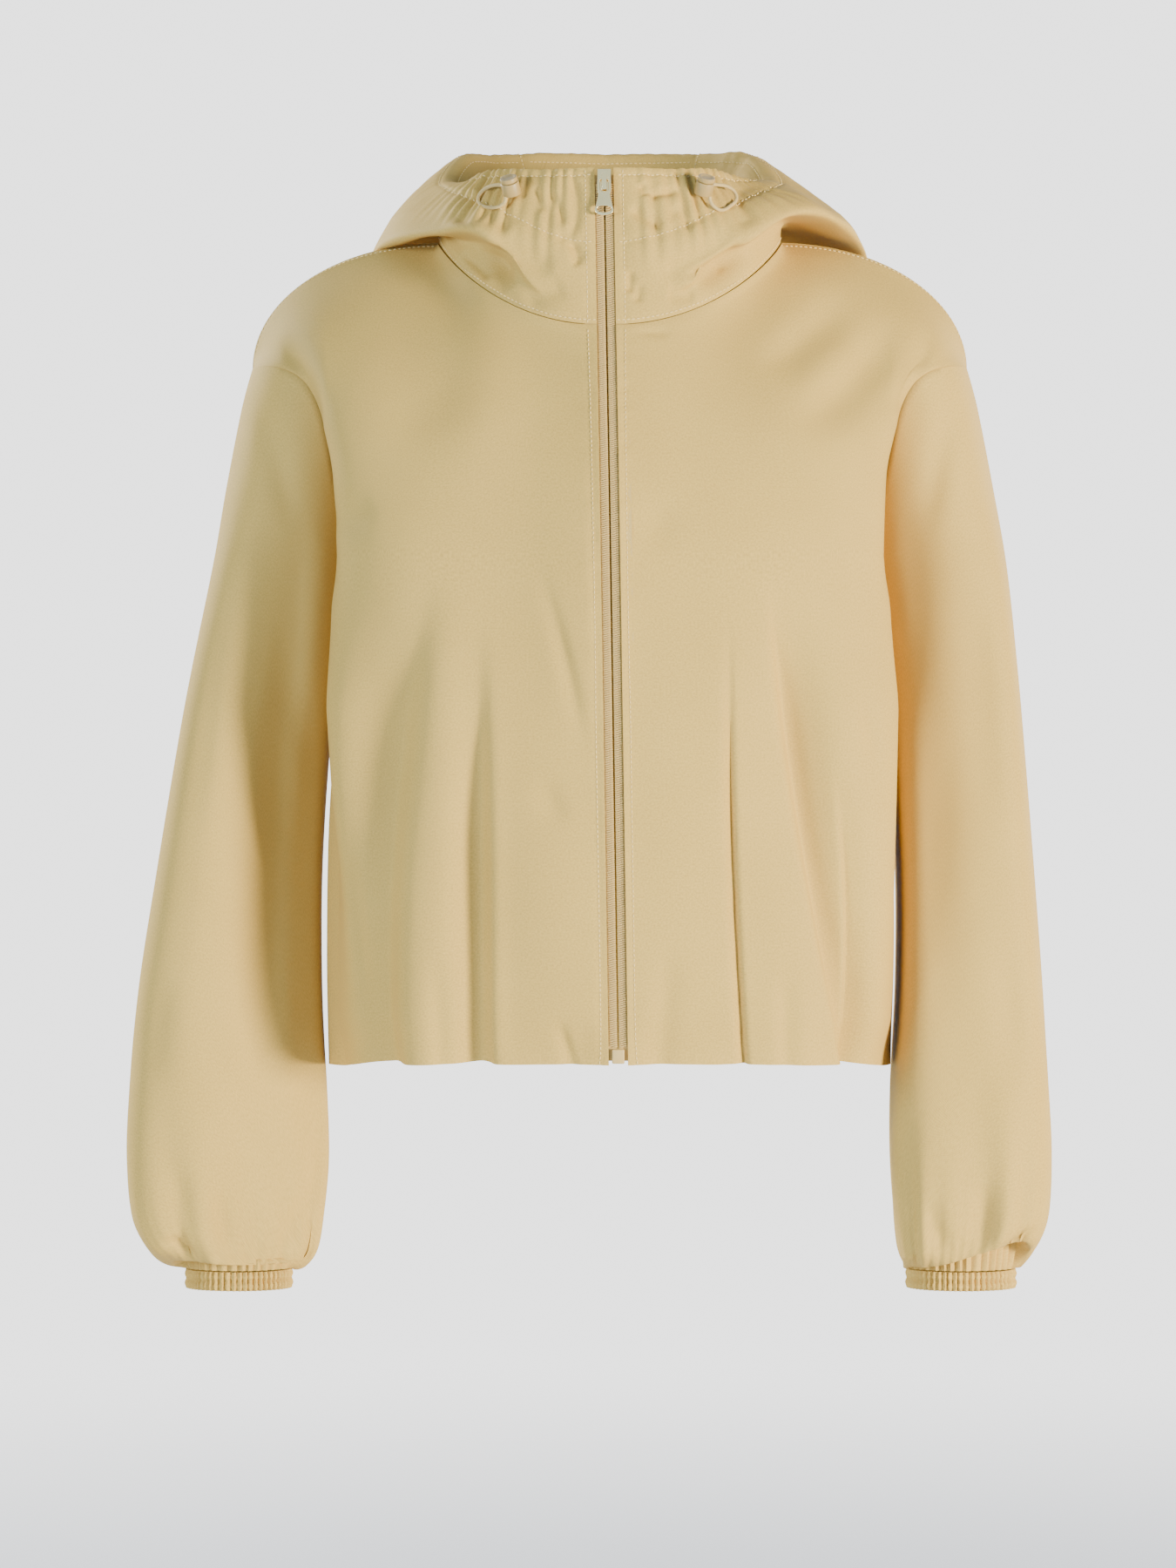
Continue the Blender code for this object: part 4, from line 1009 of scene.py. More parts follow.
def repeated(name: str, model: bpy.types.Object, places: list[Array]) -> bpy.types.Object:
    """Copy a modelled piece to many places as one mesh, and remove the model.

    Args:
        name: the new piece's name.
        model: the piece that was modelled once.
        places: a 3 by 4 placing for each copy.

    Returns:
        The piece that holds all the copies.
    """
    spots = np.array([tuple(vertex.co) for vertex in model.data.vertices])
    faces = [tuple(face.vertices) for face in model.data.polygons]
    frames = np.stack(places)
    points = np.einsum("nij,vj->nvi", frames[:, :, :3], spots) + frames[:, None, :, 3]
    count = len(spots)
    polygons = [
        tuple(copy * count + corner for corner in face)
        for copy in range(len(frames))
        for face in faces
    ]
    mesh = bpy.data.meshes.new(name)
    mesh.from_pydata(points.reshape(-1, 3).tolist(), [], polygons)
    mesh.update()
    mesh.shade_smooth()
    bpy.data.objects.remove(model, do_unlink=True)
    return link_new(name, mesh)


def softened_copy(node: str, name: str, rounding: float) -> bpy.types.Object:
    """Copy of a solid with its doubles merged, its flat faces joined and its edges rounded.

    Args:
        node: the solid's name.
        name: the copy's name.
        rounding: radius of the rounded edges.

    Returns:
        The copy.
    """
    thing = link_new(name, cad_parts[node].data.copy())
    make_active(thing)
    with editing():
        bpy.ops.mesh.remove_doubles(threshold=MERGE_DISTANCE)
        bpy.ops.mesh.dissolve_limited(angle_limit=FLAT_ANGLE)
        bpy.ops.mesh.customdata_custom_splitnormals_clear()
    round_edges(thing, rounding)
    bpy.ops.object.shade_smooth_by_angle(angle=SMOOTH_ANGLE)
    return thing


class Board:
    """Adds nodes to a node tree and joins them."""

    def __init__(self, tree: bpy.types.NodeTree) -> None:
        """Work on a tree."""
        self.tree = tree

    def add(self, kind: str, **settings: object) -> bpy.types.Node:
        """Add a node of a kind and set its properties."""
        node = self.tree.nodes.new(kind)
        for name, value in settings.items():
            setattr(node, name, value)
        return node

    def feed(self, value: object, socket: bpy.types.NodeSocket) -> None:
        """Join an output to a socket, or set the socket to a plain value."""
        if isinstance(value, bpy.types.NodeSocket):
            self.tree.links.new(value, socket)
        else:
            socket.default_value = value

    def math(self, operation: str, first: object, second: object = 0.0) -> bpy.types.NodeSocket:
        """Output of a math node on two values or outputs."""
        node = self.add("ShaderNodeMath", operation=operation)
        self.feed(first, node.inputs[0])
        self.feed(second, node.inputs[1])
        return node.outputs[0]

    def fill(self, node: bpy.types.Node, values: dict[str, object]) -> None:
        """Feed values or outputs to the sockets of a node, by name."""
        for name, value in values.items():
            self.feed(value, node.inputs[name])

    def noise(
        self, vector: bpy.types.NodeSocket, scale: object, detail: float = 2.0,
    ) -> bpy.types.NodeSocket:
        """Output of a noise texture."""
        node = self.add("ShaderNodeTexNoise")
        self.fill(node, {"Vector": vector, "Scale": scale, "Detail": detail})
        return node.outputs[0]

    def mix(self, share: object, first: object, second: object) -> bpy.types.NodeSocket:
        """Output of a colour mix."""
        node = self.add("ShaderNodeMix", data_type="RGBA")
        self.feed(share, node.inputs[0])
        self.feed(first, node.inputs[6])
        self.feed(second, node.inputs[7])
        return node.outputs[2]

    def bump(self, height: object, strength: float, distance: float) -> bpy.types.NodeSocket:
        """Output of a bump node."""
        node = self.add("ShaderNodeBump")
        self.fill(node, {"Strength": strength, "Distance": distance, "Height": height})
        return node.outputs[0]


def new_material(name: str) -> tuple[bpy.types.Material, Board, bpy.types.Node]:
    """New material with the board of its nodes and its shader."""
    material = bpy.data.materials.new(name)
    material.use_nodes = True
    return material, Board(material.node_tree), material.node_tree.nodes["Principled BSDF"]


class WovenGroup:
    """Shader node group of woven thread: slanted ribs, the threads across them and slubs, from the UV map."""

    NAME = "Woven thread"
    SLANT = 1.7
    RIB_HEIGHT = 0.6
    THREAD_HEIGHT = 0.2
    RIB_MOTTLE = 0.2
    SLUB_FLOOR = 0.32
    SLUB_GAIN = 2.2
    BROAD_SCALE = 14.0
    BROAD_DETAIL = 4.0

    @classmethod
    def tree(cls) -> bpy.types.NodeTree:
        """The group, built when it is first asked for."""
        if cls.NAME in bpy.data.node_groups:
            return bpy.data.node_groups[cls.NAME]
        group = bpy.data.node_groups.new(cls.NAME, "ShaderNodeTree")
        for name in ("Rib pitch", "Thread pitch", "Slub scale"):
            group.interface.new_socket(name, in_out="INPUT", socket_type="NodeSocketFloat")
        for name in ("Height", "Mottle", "Broad"):
            group.interface.new_socket(name, in_out="OUTPUT", socket_type="NodeSocketFloat")
        board = Board(group)
        given = board.add("NodeGroupInput").outputs
        result = board.add("NodeGroupOutput")
        where = board.add("ShaderNodeTexCoord").outputs["UV"]
        split = board.add("ShaderNodeSeparateXYZ")
        board.feed(where, split.inputs[0])
        slanted = board.math("MULTIPLY", split.outputs[0], cls.SLANT)
        rib = cls.wave(board, board.math("ADD", slanted, split.outputs[1]), given["Rib pitch"])
        warp = cls.wave(board, split.outputs[0], given["Thread pitch"])
        weft = cls.wave(board, split.outputs[1], given["Thread pitch"])
        threads = board.math("MULTIPLY", board.math("ADD", warp, weft), cls.THREAD_HEIGHT)
        slub = board.math("SUBTRACT", board.noise(where, given["Slub scale"]), cls.SLUB_FLOOR)
        fine = board.math("MULTIPLY", slub, cls.SLUB_GAIN)
        ribbed = board.math("MULTIPLY", rib, cls.RIB_MOTTLE)
        results = {
            "Height": board.math("ADD", board.math("MULTIPLY", rib, cls.RIB_HEIGHT), threads),
            "Mottle": board.math("ADD", fine, ribbed),
            "Broad": board.noise(where, cls.BROAD_SCALE, cls.BROAD_DETAIL),
        }
        board.fill(result, results)
        return group

    @staticmethod
    def wave(board: Board, length: object, pitch: object) -> bpy.types.NodeSocket:
        """Wave from 0 to 1 along a length, with a pitch."""
        turn = board.math("MULTIPLY", board.math("DIVIDE", length, pitch), TURN)
        return board.math("ADD", board.math("MULTIPLY", board.math("SINE", turn), 0.5), 0.5)


@dataclass(frozen=True)
class WovenFinish:
    """Finish of woven cloth, tape or cord."""

    name: str
    colour: Colour
    shade: Colour
    rib_pitch: float
    thread_pitch: float
    slub_scale: float = 820.0
    roughness: float = 0.68
    sheen: float = 0.03
    relief: float = 0.00012
    bump: float = 0.5
    mottle_share: float = 0.65
    roughness_spread: float = 0.12
    sheen_roughness: float = 0.4
    sheen_tint: Colour = (1.0, 0.93, 0.78)
    specular: float = 0.12

    def material(self) -> bpy.types.Material:
        """Make the material."""
        material, board, shader = new_material(self.name)
        woven = board.add("ShaderNodeGroup", node_tree=WovenGroup.tree())
        board.fill(woven, {
            "Rib pitch": self.rib_pitch,
            "Thread pitch": self.thread_pitch,
            "Slub scale": self.slub_scale,
        })
        mottle = woven.outputs["Mottle"]
        broad = board.math("MULTIPLY", woven.outputs["Broad"], 1.0 - self.mottle_share)
        share = board.math("ADD", board.math("MULTIPLY", mottle, self.mottle_share), broad)
        uneven = board.math("MULTIPLY", mottle, self.roughness_spread)
        board.fill(shader, {
            "Base Color": board.mix(share, (*self.shade, 1.0), (*self.colour, 1.0)),
            "Roughness": board.math("ADD", uneven, self.roughness - self.roughness_spread / 2.0),
            "Normal": board.bump(woven.outputs["Height"], self.bump, self.relief),
            "Sheen Weight": self.sheen,
            "Sheen Roughness": self.sheen_roughness,
            "Sheen Tint": (*self.sheen_tint, 1.0),
            "Specular IOR Level": self.specular,
        })
        return material


@dataclass(frozen=True)
class SolidFinish:
    """Finish of moulded plastic or plated metal, with a little unevenness."""

    name: str
    colour: Colour
    shade: Colour
    roughness: float
    metallic: float = 0.0
    grain_scale: float = 900.0
    grain: float = 0.00003
    bump: float = 0.4
    broad_scale: float = 160.0
    roughness_spread: float = 0.14

    def material(self) -> bpy.types.Material:
        """Make the material."""
        material, board, shader = new_material(self.name)
        where = board.add("ShaderNodeTexCoord").outputs["Object"]
        broad = board.noise(where, self.broad_scale, 3.0)
        fine = board.noise(where, self.grain_scale)
        uneven = board.math("MULTIPLY", fine, self.roughness_spread)
        board.fill(shader, {
            "Base Color": board.mix(broad, (*self.shade, 1.0), (*self.colour, 1.0)),
            "Roughness": board.math("ADD", uneven, self.roughness - self.roughness_spread / 2.0),
            "Normal": board.bump(fine, self.bump, self.grain),
            "Metallic": self.metallic,
        })
        return material


@dataclass(frozen=True)
class Finishes:
    """Materials of the jacket."""

    twill: bpy.types.Material
    tape: bpy.types.Material
    coil: bpy.types.Material
    metal: bpy.types.Material
    lock: bpy.types.Material
    cord: bpy.types.Material
    thread: bpy.types.Material

    @classmethod
    def make(cls) -> "Finishes":
        """Make every finish."""
        twill = WovenFinish("tan twill", (0.70, 0.446, 0.107), (0.475, 0.289, 0.062), 0.0009, 0.0005)
        tape = WovenFinish("tan tape", (0.66, 0.44, 0.14), (0.50, 0.32, 0.09), 0.0011, 0.0011)
        coil = SolidFinish("tan coil", (0.66, 0.435, 0.135), (0.56, 0.36, 0.10), 0.48)
        metal = SolidFinish("pale gold plate", (0.88, 0.68, 0.31), (0.82, 0.61, 0.26), 0.25, 1.0)
        lock = SolidFinish("tan moulding", (0.45, 0.285, 0.08), (0.40, 0.25, 0.065), 0.45)
        cord = WovenFinish("beige cord", (0.70, 0.49, 0.19), (0.55, 0.37, 0.12), 0.0009, 0.0011)
        thread = WovenFinish("pale thread", (0.88, 0.66, 0.27), (0.78, 0.56, 0.20), 0.0004, 0.0004)
        return cls(*(finish.material() for finish in (twill, tape, coil, metal, lock, cord, thread)))


def sew_sheet(
    panel: ClothPanel, finish: bpy.types.Material, node: str,
) -> bpy.types.Object:
    """Build a panel and dress it.

    Args:
        panel: the panel, creased.
        finish: its material.
        node: the solid that it replaces.

    Returns:
        The piece.
    """
    thing = finish_piece(panel.build(), finish, GARMENT, (node,))
    return thing


@dataclass
class JacketBody:
    """Both fronts and the back."""

    form: JacketForm
    sewing: Sewing
    front_columns: int = 168
    back_columns: int = 140
    body_rows: int = 100
    yoke_rows: int = 80
    placket_stitch: float = 0.0058
    shoulder_stitch: float = 0.0024
    shoulder_end: float = 0.97
    smoothing: int = 320
    yoke_smoothing: int = 1500
    back_smoothing: int = 400
    yoke_heights: Span = (-0.30, -0.22)
    armhole_heights: Span = (-0.17, -0.11)
    armhole_reach: float = 0.070
    crease_share: float = 2.6
    back_crease_share: float = 3.4
    front_edges: Edges = (0.012, 0.018, 0.0, 0.012)
    back_edges: Edges = (0.014, 0.014, 0.0, 0.012)
    side_dip: Dip = Dip(0.0005, 0.0022)
    top_dip: Dip = Dip(0.0004, 0.0020)
    stitch_dip: Dip = Dip(0.0005, 0.0012)
    pucker_dip: Dip = Dip(0.00018, 0.0060)
    pucker_lengths: tuple[float, float, float] = (0.0021, 0.017, 0.0047)
    edge_lift: float = 0.0003
    edge_over: Span = (0.0038, 0.0062)
    hem_turn: float = 0.0035
    hem_reach: float = 0.030
    hem_edges: Edges = (0.020, 0.020, 0.0, 0.0)
    fullness: float = 0.015
    full_heights: Span = (-0.03, -0.13)
    full_from: Span = (0.22, 0.80)
    full_to: Span = (0.94, 1.08)
    full_edges: Edges = (0.0, 0.018, 0.0, 0.0)
    half_width: float = 0.190

    def levels(self) -> Array:
        """Levels of the rows, from 0 at the hem to 1 at the underarm and 2 at the top."""
        low = np.linspace(0.0, 1.0, self.body_rows + 1)
        return np.concatenate([low, np.linspace(1.0, 2.0, self.yoke_rows + 1)[1:]])

    def front(self, side: Side) -> ClothPanel:
        """One front with its pleats, drag lines and placket."""
        across, up = np.meshgrid(np.linspace(0.0, 1.0, self.front_columns + 1), self.levels())
        points = self.form.front_panel(side, across, up)
        panel = ClothPanel("cloth_front_" + side.value, points, side is Side.LEFT)
        panel.relax(self.smoothing)
        panel.relax(self.yoke_smoothing, self.yoke_share(panel, 0.0))
        panel.points[..., 1] -= self.fullness * self.filled_out(panel)
        panel.normals = panel.way_out()
        depth = self.crease_share * pressed(FRONT_CREASES[side], panel.points)
        depth += FRONT_RIPPLE[side].press(panel.across, panel.along)
        depth *= panel.from_edges(*self.front_edges)
        depth += self.placket(panel.across, panel.along) + self.hem_curl(panel)
        depth += self.side_dip.press(panel.to_last())
        depth += self.top_dip.press(panel.to_head())
        panel.press(depth)
        self.sewing.add(panel.column_line(self.placket_stitch))
        shoulder = panel.row_line(self.shoulder_stitch, head=True)
        self.sewing.add(shoulder, self.form.neck_share, self.shoulder_end)
        return panel

    def yoke_share(self, panel: ClothPanel, first: float) -> Array:
        """How freely each point of the yoke is smoothed, which is less beside the armholes.

        Args:
            panel: the panel.
            first: width beside its first edge that is smoothed less, 0 where that edge is no armhole.

        Returns:
            The share at each point.
        """
        inside = panel.from_edges(first, self.armhole_reach, 0.0, 0.0)
        height = panel.points[..., 2]
        return ease(*self.yoke_heights, height) * blend(1.0, inside, ease(*self.armhole_heights, height))

    def placket(self, across: Array, along: Array) -> Array:
        """How far the sewing of the zip presses the cloth in, with the doubled edge standing out."""
        aside = across - self.placket_stitch
        short, drift, other = self.pucker_lengths
        pucker = np.sin(along / short + 2.0 * np.sin(along / drift)) + np.sin(along / other)
        drawn = hollow(self.pucker_dip.depth * pucker, self.pucker_dip.width, aside)
        lifted = self.edge_lift * (1.0 - ease(*self.edge_over, across))
        return self.stitch_dip.press(aside) + drawn - lifted

    def filled_out(self, panel: ClothPanel) -> Array:
        """Share by which the front stands out beside the armhole, where the cloth hangs flat."""
        share = np.abs(panel.points[..., 0]) / self.half_width
        height = ease(*self.full_heights, panel.points[..., 2])
        inside = panel.from_edges(*self.full_edges)
        return ease(*self.full_from, share) * (1.0 - ease(*self.full_to, share)) * height * inside

    def hem_curl(self, panel: ClothPanel) -> Array:
        """How far the hem's turned edge draws in."""
        turned = self.hem_turn * (1.0 - ease(0.0, self.hem_reach, panel.along))
        return turned * panel.from_edges(*self.hem_edges)

    def back(self) -> ClothPanel:
        """The back with its pleats."""
        across, up = np.meshgrid(np.linspace(-1.0, 1.0, self.back_columns + 1), self.levels())
        panel = ClothPanel("cloth_back", self.form.back_panel(across, up), True)
        panel.relax(self.smoothing)
        panel.relax(self.back_smoothing, self.yoke_share(panel, self.armhole_reach))
        depth = self.back_crease_share * pressed(BACK_CREASES, panel.points)
        depth += BACK_RIPPLE.press(panel.across, panel.along)
        depth *= panel.from_edges(*self.back_edges)
        panel.press(depth + self.hem_curl(panel))
        return panel

    def build(self, finishes: Finishes) -> None:
        """Build and dress the three panels."""
        for side in Side:
            sew_sheet(self.front(side), finishes.twill, "front_" + side.value)
        sew_sheet(self.back(), finishes.twill, "back")


@dataclass
class JacketSleeve:
    """One sleeve and its gathered cuff."""

    form: JacketForm
    side: Side
    columns: int = 152
    upper_rows: int = 98
    end_rows: int = 46
    end_share: float = 0.08
    cuff_columns: int = 290
    cuff_rows: int = 12
    back_share: float = 0.8
    crease_share: float = 2.4
    allowance_rows: int = 5
    allowance: float = 0.25
    allowance_depth: float = 0.0022
    allowance_end: float = -0.35
    allowance_drop: float = 0.5
    crease_facing: Span = (0.05, 0.55)
    crease_edges: Edges = (0.0, 0.0, 0.024, 0.004)
    drape_inside: Span = (0.25, 0.75)
    drape_facing: Span = (0.0, 0.7)
    drape_from: Span = (0.06, 0.28)
    drape_to: Span = (0.80, 0.97)
    squareness: float = 5.0
    set_back: dict[Side, float] = field(default_factory=lambda: {Side.LEFT: 0.017, Side.RIGHT: 0.0})
    fullness: float = 0.055
    inner_fullness: dict[Side, float] = field(default_factory=lambda: {Side.LEFT: 0.0, Side.RIGHT: 1.0})
    gathers_shown: dict[Side, Span] = field(
        default_factory=lambda: {Side.LEFT: (0.0050, 0.0065), Side.RIGHT: (0.0020, 0.0200)},
    )
    fold_waver: float = 0.0010
    fold_hidden: float = 0.0030
    fold_turn: float = 0.0080
    fold_flare: float = 0.12
    fold_reach: float = 0.030
    fold_outer: Span = (0.1, 0.9)
    fold_facing: Span = (0.15, 0.60)
    blouse_heights: Span = (-0.50, -0.63)
    blouse_step: float = 0.03
    blouse_waves: tuple[tuple[int, float, float], ...] = (
        (7, 0.0016, 0.4), (11, 0.0010, 1.9), (16, 0.0005, 2.7),
    )
    channel_depth: float = 0.0005
    channel_edges: Edges = (0.0, 0.0, 0.002, 0.0)

    def levels(self) -> Array:
        """Levels of the rows down the sleeve, closer together where it blouses over the cuff."""
        share = np.linspace(0.0, 1.0, 600)
        line = self.form.sleeve_point(self.side, np.full_like(share, math.pi / 2.0), share)
        upper = np.linspace(0.0, 1.0 - self.end_share, self.upper_rows + 1)
        end = np.linspace(1.0 - self.end_share, 1.0, self.end_rows + 1)
        return places_at(line, share, np.concatenate([upper, end[1:]]))

    def sleeve(self) -> ClothPanel:
        """The sleeve, with soft folds down it and blousing over the cuff."""
        angle, down = np.meshgrid(np.linspace(0.0, TURN, self.columns + 1), self.levels())
        points = self.drape(angle, self.form.sleeve_point(self.side, angle, down))
        points = np.concatenate([self.seam_allowance(angle[0]), points])
        angle = np.concatenate([angle[:self.allowance_rows], angle])
        panel = ClothPanel("cloth_sleeve_" + self.side.value, points, self.side is Side.LEFT, closed=True)
        facing = np.sin(angle)
        front = ease(*self.crease_facing, facing)
        behind = ease(*self.crease_facing, -facing) * self.back_share
        creased = pressed(SLEEVE_CREASES[self.side], points)
        mirror = points * np.array([-1.0, 1.0, 1.0])
        other = Side.RIGHT if self.side is Side.LEFT else Side.LEFT
        depth = self.crease_share * (creased * front + pressed(SLEEVE_CREASES[other], mirror) * behind)
        depth = depth + self.blouse(angle, points[..., 2])
        panel.press(depth * panel.from_edges(*self.crease_edges))
        panel.points = self.fold_over(panel, angle)
        panel.normals = panel.way_out()
        return panel

    def fold_over(self, panel: ClothPanel, angle: Array) -> Array:
        """The sleeve's points with the cloth above the cuff hanging over the gathers.

        Args:
            panel: the sleeve.
            angle: angle of each point round the sleeve.

        Returns:
            The points: a gathered wall up from the cuff, a fold, and the cloth that falls over it.
        """
        points = panel.points
        up = panel.to_head()
        outer = (1.0 + np.cos(angle)) / 2.0
        shown = blend(*self.gathers_shown[self.side], ease(*self.fold_outer, outer))
        shown = shown + self.fold_waver * np.sin(3.0 * angle + self.side.hand)
        wall = shown + self.fold_hidden
        fold = wall + self.fold_turn
        out = np.stack([self.side.hand * np.cos(angle), -np.sin(angle), np.zeros_like(angle)], axis=-1)
        rise = np.array([0.0, 0.0, 1.0])
        lift = np.minimum(up, wall)[..., None]
        inner = points[-1:] + lift * (rise + self.fold_flare * out)
        row = np.argmin(np.abs(up - fold), axis=0)
        hung = points[row, np.arange(points.shape[1])][None]
        lowest = np.broadcast_to(hung, points.shape).copy()
        lowest[..., 2] = points[-1:, :, 2] + shown
        turn = np.sin(math.pi / 2.0 * np.clip((up - wall) / self.fold_turn, 0.0, 1.0))[..., None]
        under = blend(inner, lowest, turn)
        settle = (1.0 - ease(0.0, self.fold_reach, up - fold))[..., None]
        over = points + (lowest - hung) * settle
        folded = np.where((up < fold)[..., None], under, over)
        facing = np.sin(angle)
        share = ease(*self.fold_facing, np.abs(facing)) * np.where(facing > 0.0, 1.0, self.back_share)
        return blend(points, folded, share[..., None])

    def drape(self, angle: Array, points: Array) -> Array:
        """The sleeve's points with its front flattened and the inner part of it set back."""
        outer = points[:, :1, 0]
        inner = points[:, self.columns // 2:self.columns // 2 + 1, 0]
        inside = ease(*self.drape_inside, (points[..., 0] - outer) / (inner - outer))
        rows = np.linspace(0.0, 1.0, len(points))[:, None]
        length = ease(*self.drape_from, rows) * (1.0 - ease(*self.drape_to, rows))
        across = np.abs(np.cos(angle))
        full = (1.0 - across**self.squareness) ** (1.0 / self.squareness) - np.abs(np.sin(angle))
        near = np.where(np.cos(angle) > 0.0, 1.0, self.inner_fullness[self.side])
        draped = points.copy()
        facing = ease(*self.drape_facing, np.sin(angle))
        draped[..., 1] += self.set_back[self.side] * inside * facing * length
        draped[..., 1] -= self.fullness * full * near * np.sign(np.sin(angle)) * length
        return draped

    def seam_allowance(self, angle: Array) -> Array:
        """Rows of the sleeve that run on inside the armhole seam and close it."""
        rows = []
        for step in range(self.allowance_rows, 0, -1):
            share = step / self.allowance_rows
            place = self.form.armhole_place(angle) + self.form.sleeve_start - self.allowance * share
            point = self.form.sleeve_tube(SLEEVE[self.side], angle, np.maximum(place, self.allowance_end))
            inward = self.allowance_depth * share**0.5
            x = self.side.hand * (point[:, 0] - inward * np.cos(angle))
            below = point[:, 2] - inward * self.allowance_drop
            rows.append(np.stack([x, point[:, 1] + inward * np.sin(angle), below], axis=-1))
        return np.stack(rows)

    def blouse(self, angle: Array, height: Array) -> Array:
        """Uneven folds that the elastic draws up from the cuff."""
        total = np.zeros_like(angle)
        low, high = self.blouse_heights
        for number, (waves, depth, phase) in enumerate(self.blouse_waves):
            reach = ease(low - self.blouse_step * number, high, height)
            total += depth * reach * np.cos(waves * angle + phase + self.side.hand)
        return total

    def cuff(self) -> ClothPanel:
        """The elastic cuff."""
        around = np.linspace(0.0, TURN, self.cuff_columns + 1)
        angle, down = np.meshgrid(around, np.linspace(0.0, 1.0, self.cuff_rows + 1))
        points = self.form.cuff_point(self.side, angle, down)
        panel = ClothPanel("cloth_cuff_" + self.side.value, points, self.side is Side.LEFT, closed=True)
        channel = self.channel_depth * np.cos(2.0 * TURN * down)
        panel.press(channel * panel.from_edges(*self.channel_edges))
        return panel

    def build(self, finishes: Finishes) -> None:
        """Build and dress the sleeve and the cuff."""
        sew_sheet(self.sleeve(), finishes.twill, "sleeve_" + self.side.value)
        sew_sheet(self.cuff(), finishes.twill, "cuff_" + self.side.value)


@dataclass
class JacketHood:
    """The hood lying down: two sides, which close in front as the funnel neck, and a middle panel."""

    form: JacketForm
    sewing: Sewing
    side_columns: int = 160
    centre_columns: int = 50
    rows: int = 138
    placket_stitch: float = 0.0058
    seam_stitch: float = 0.0026
    front_angle: float = 72.0
    front_share: float = 0.70
    gather: float = 0.0011
    crease_share: float = 2.0
    facing_rows: int = 10
    facing: float = 0.022
    settle_angles: tuple[float, ...] = (0.0, 40.0, 60.0, 80.0, 90.0, 100.0, 120.0, 140.0, 160.0, 180.0)
    settle_shares: tuple[float, ...] = (1.0, 1.0, 0.93, 0.82, 0.75, 0.79, 0.94, 0.875, 0.86, 0.853)
    settle_from: float = 0.02
    casing_low: tuple[Span, ...] = ((3.0, 4.0), (25.0, 4.3), (60.0, 4.7), (110.0, 5.05), (180.0, 5.2))
    casing_high: tuple[Span, ...] = ((3.0, 5.55), (40.0, 5.55), (90.0, 5.6), (180.0, 5.65))
    casing_from: Span = (2.0, 5.0)
    casing_dip: Dip = Dip(0.0006, 0.09)
    seam_dip: Dip = Dip(0.0006, 0.0020)
    stitch_dip: Dip = Dip(0.0003, 0.0012)
    side_edges: Edges = (0.008, 0.006, 0.006, 0.0)
    centre_edges: Edges = (0.006, 0.006, 0.006, 0.0)
    crease_angles: Span = (78.0, 100.0)
    back_stitch: float = 0.0020
    back_stitch_from: float = 0.12
    gather_pitches: Span = (4.6, 7.9)
    gather_band: Span = (3.2, 4.6)
    gather_rim: Span = (5.6, 6.0)
    gather_from: Span = (5.0, 12.0)
    gather_to: Span = (55.0, 90.0)
    centre_phase: float = 0.4
    facing_tuck: float = 0.0030

    def places(self) -> Array:
        """Places of the rows up the section, spaced evenly at the side of the neck."""
        place = np.linspace(0.0, HOOD_TOP, 600)
        angle = np.full_like(place, 100.0)
        return even_places(self.form.hood_form(angle, place), place, self.rows)

    def seam_angle(self) -> float:
        """Angle at which a side ends and the middle panel begins."""
        gap = math.degrees(self.form.seam_gap / 2.0 / self.form.neck_back_depth)
        return self.form.hood_seam_angle - gap

    def side_angles(self) -> Array:
        """Angles of a side's columns, closer together in front."""
        share = np.linspace(0.0, 1.0, self.side_columns + 1)
        angles = (0.0, self.front_angle, self.seam_angle())
        return np.interp(share, (0.0, self.front_share, 1.0), angles)

    def gathers(self, angle: Array, place: Array, hand: float) -> Array:
        """Puckers that the cord draws into the casing, strongest in front."""
        drift = 1.4 * np.sin(angle / 6.3 + hand) + 1.1 * np.sin(angle / 11.7 + 2.0)
        first, second = self.gather_pitches
        wave = np.cos(TURN * angle / first + drift) + 0.5 * np.cos(TURN * angle / second + hand)
        band = ease(*self.gather_band, place) * (1.0 - 0.4 * ease(*self.gather_rim, place))
        uneven = 0.75 + 0.5 * np.sin(angle / 4.1 + 1.3 * hand) * np.sin(angle / 9.3 + place)
        front = ease(*self.gather_from, angle) * blend(1.0, 0.2, ease(*self.gather_to, angle))
        return self.gather * wave * band * front * uneven

    def settle(self, angle: Array, points: Array) -> Array:
        """The hood's points with its crest sunk under its own weight."""
        share = np.interp(angle, self.settle_angles, self.settle_shares)
        over = np.maximum(points[..., 2] - self.settle_from, 0.0)
        lower = points.copy()
        lower[..., 2] -= over * (1.0 - share)
        return lower

    def with_facing(self, points: Array, angle: Array) -> Array:
        """The hood's points with the rim's turned-in facing added after the last row."""
        turn = np.radians(angle[-1])
        hand = np.sign(points[-1, :, 0])
        inward = np.stack([-hand * np.abs(np.sin(turn)), np.cos(turn), np.zeros_like(turn)], axis=-1)
        rows = []
        for step in range(1, self.facing_rows + 1):
            share = step / self.facing_rows
            tuck = self.facing_tuck * min(1.0, 4.0 * share) + self.facing_tuck * share
            drop = np.array([0.0, 0.0, self.facing * share])
            rows.append(points[-1] + inward * tuck - drop)
        return np.concatenate([points, np.stack(rows)])

    def casing_lines(self, angle: Array) -> list[Array]:
        """Places up the section of the two rows of casing stitches, at each angle."""
        return [np.interp(angle, *zip(*route)) for route in (self.casing_low, self.casing_high)]

    def casing(self, angle: Array, place: Array) -> Array:
        """How far the two rows of casing stitches press the cloth in."""
        total = np.zeros_like(angle)
        for line in self.casing_lines(angle):
            total += self.casing_dip.press(place - line)
        return total * ease(*self.casing_from, angle)

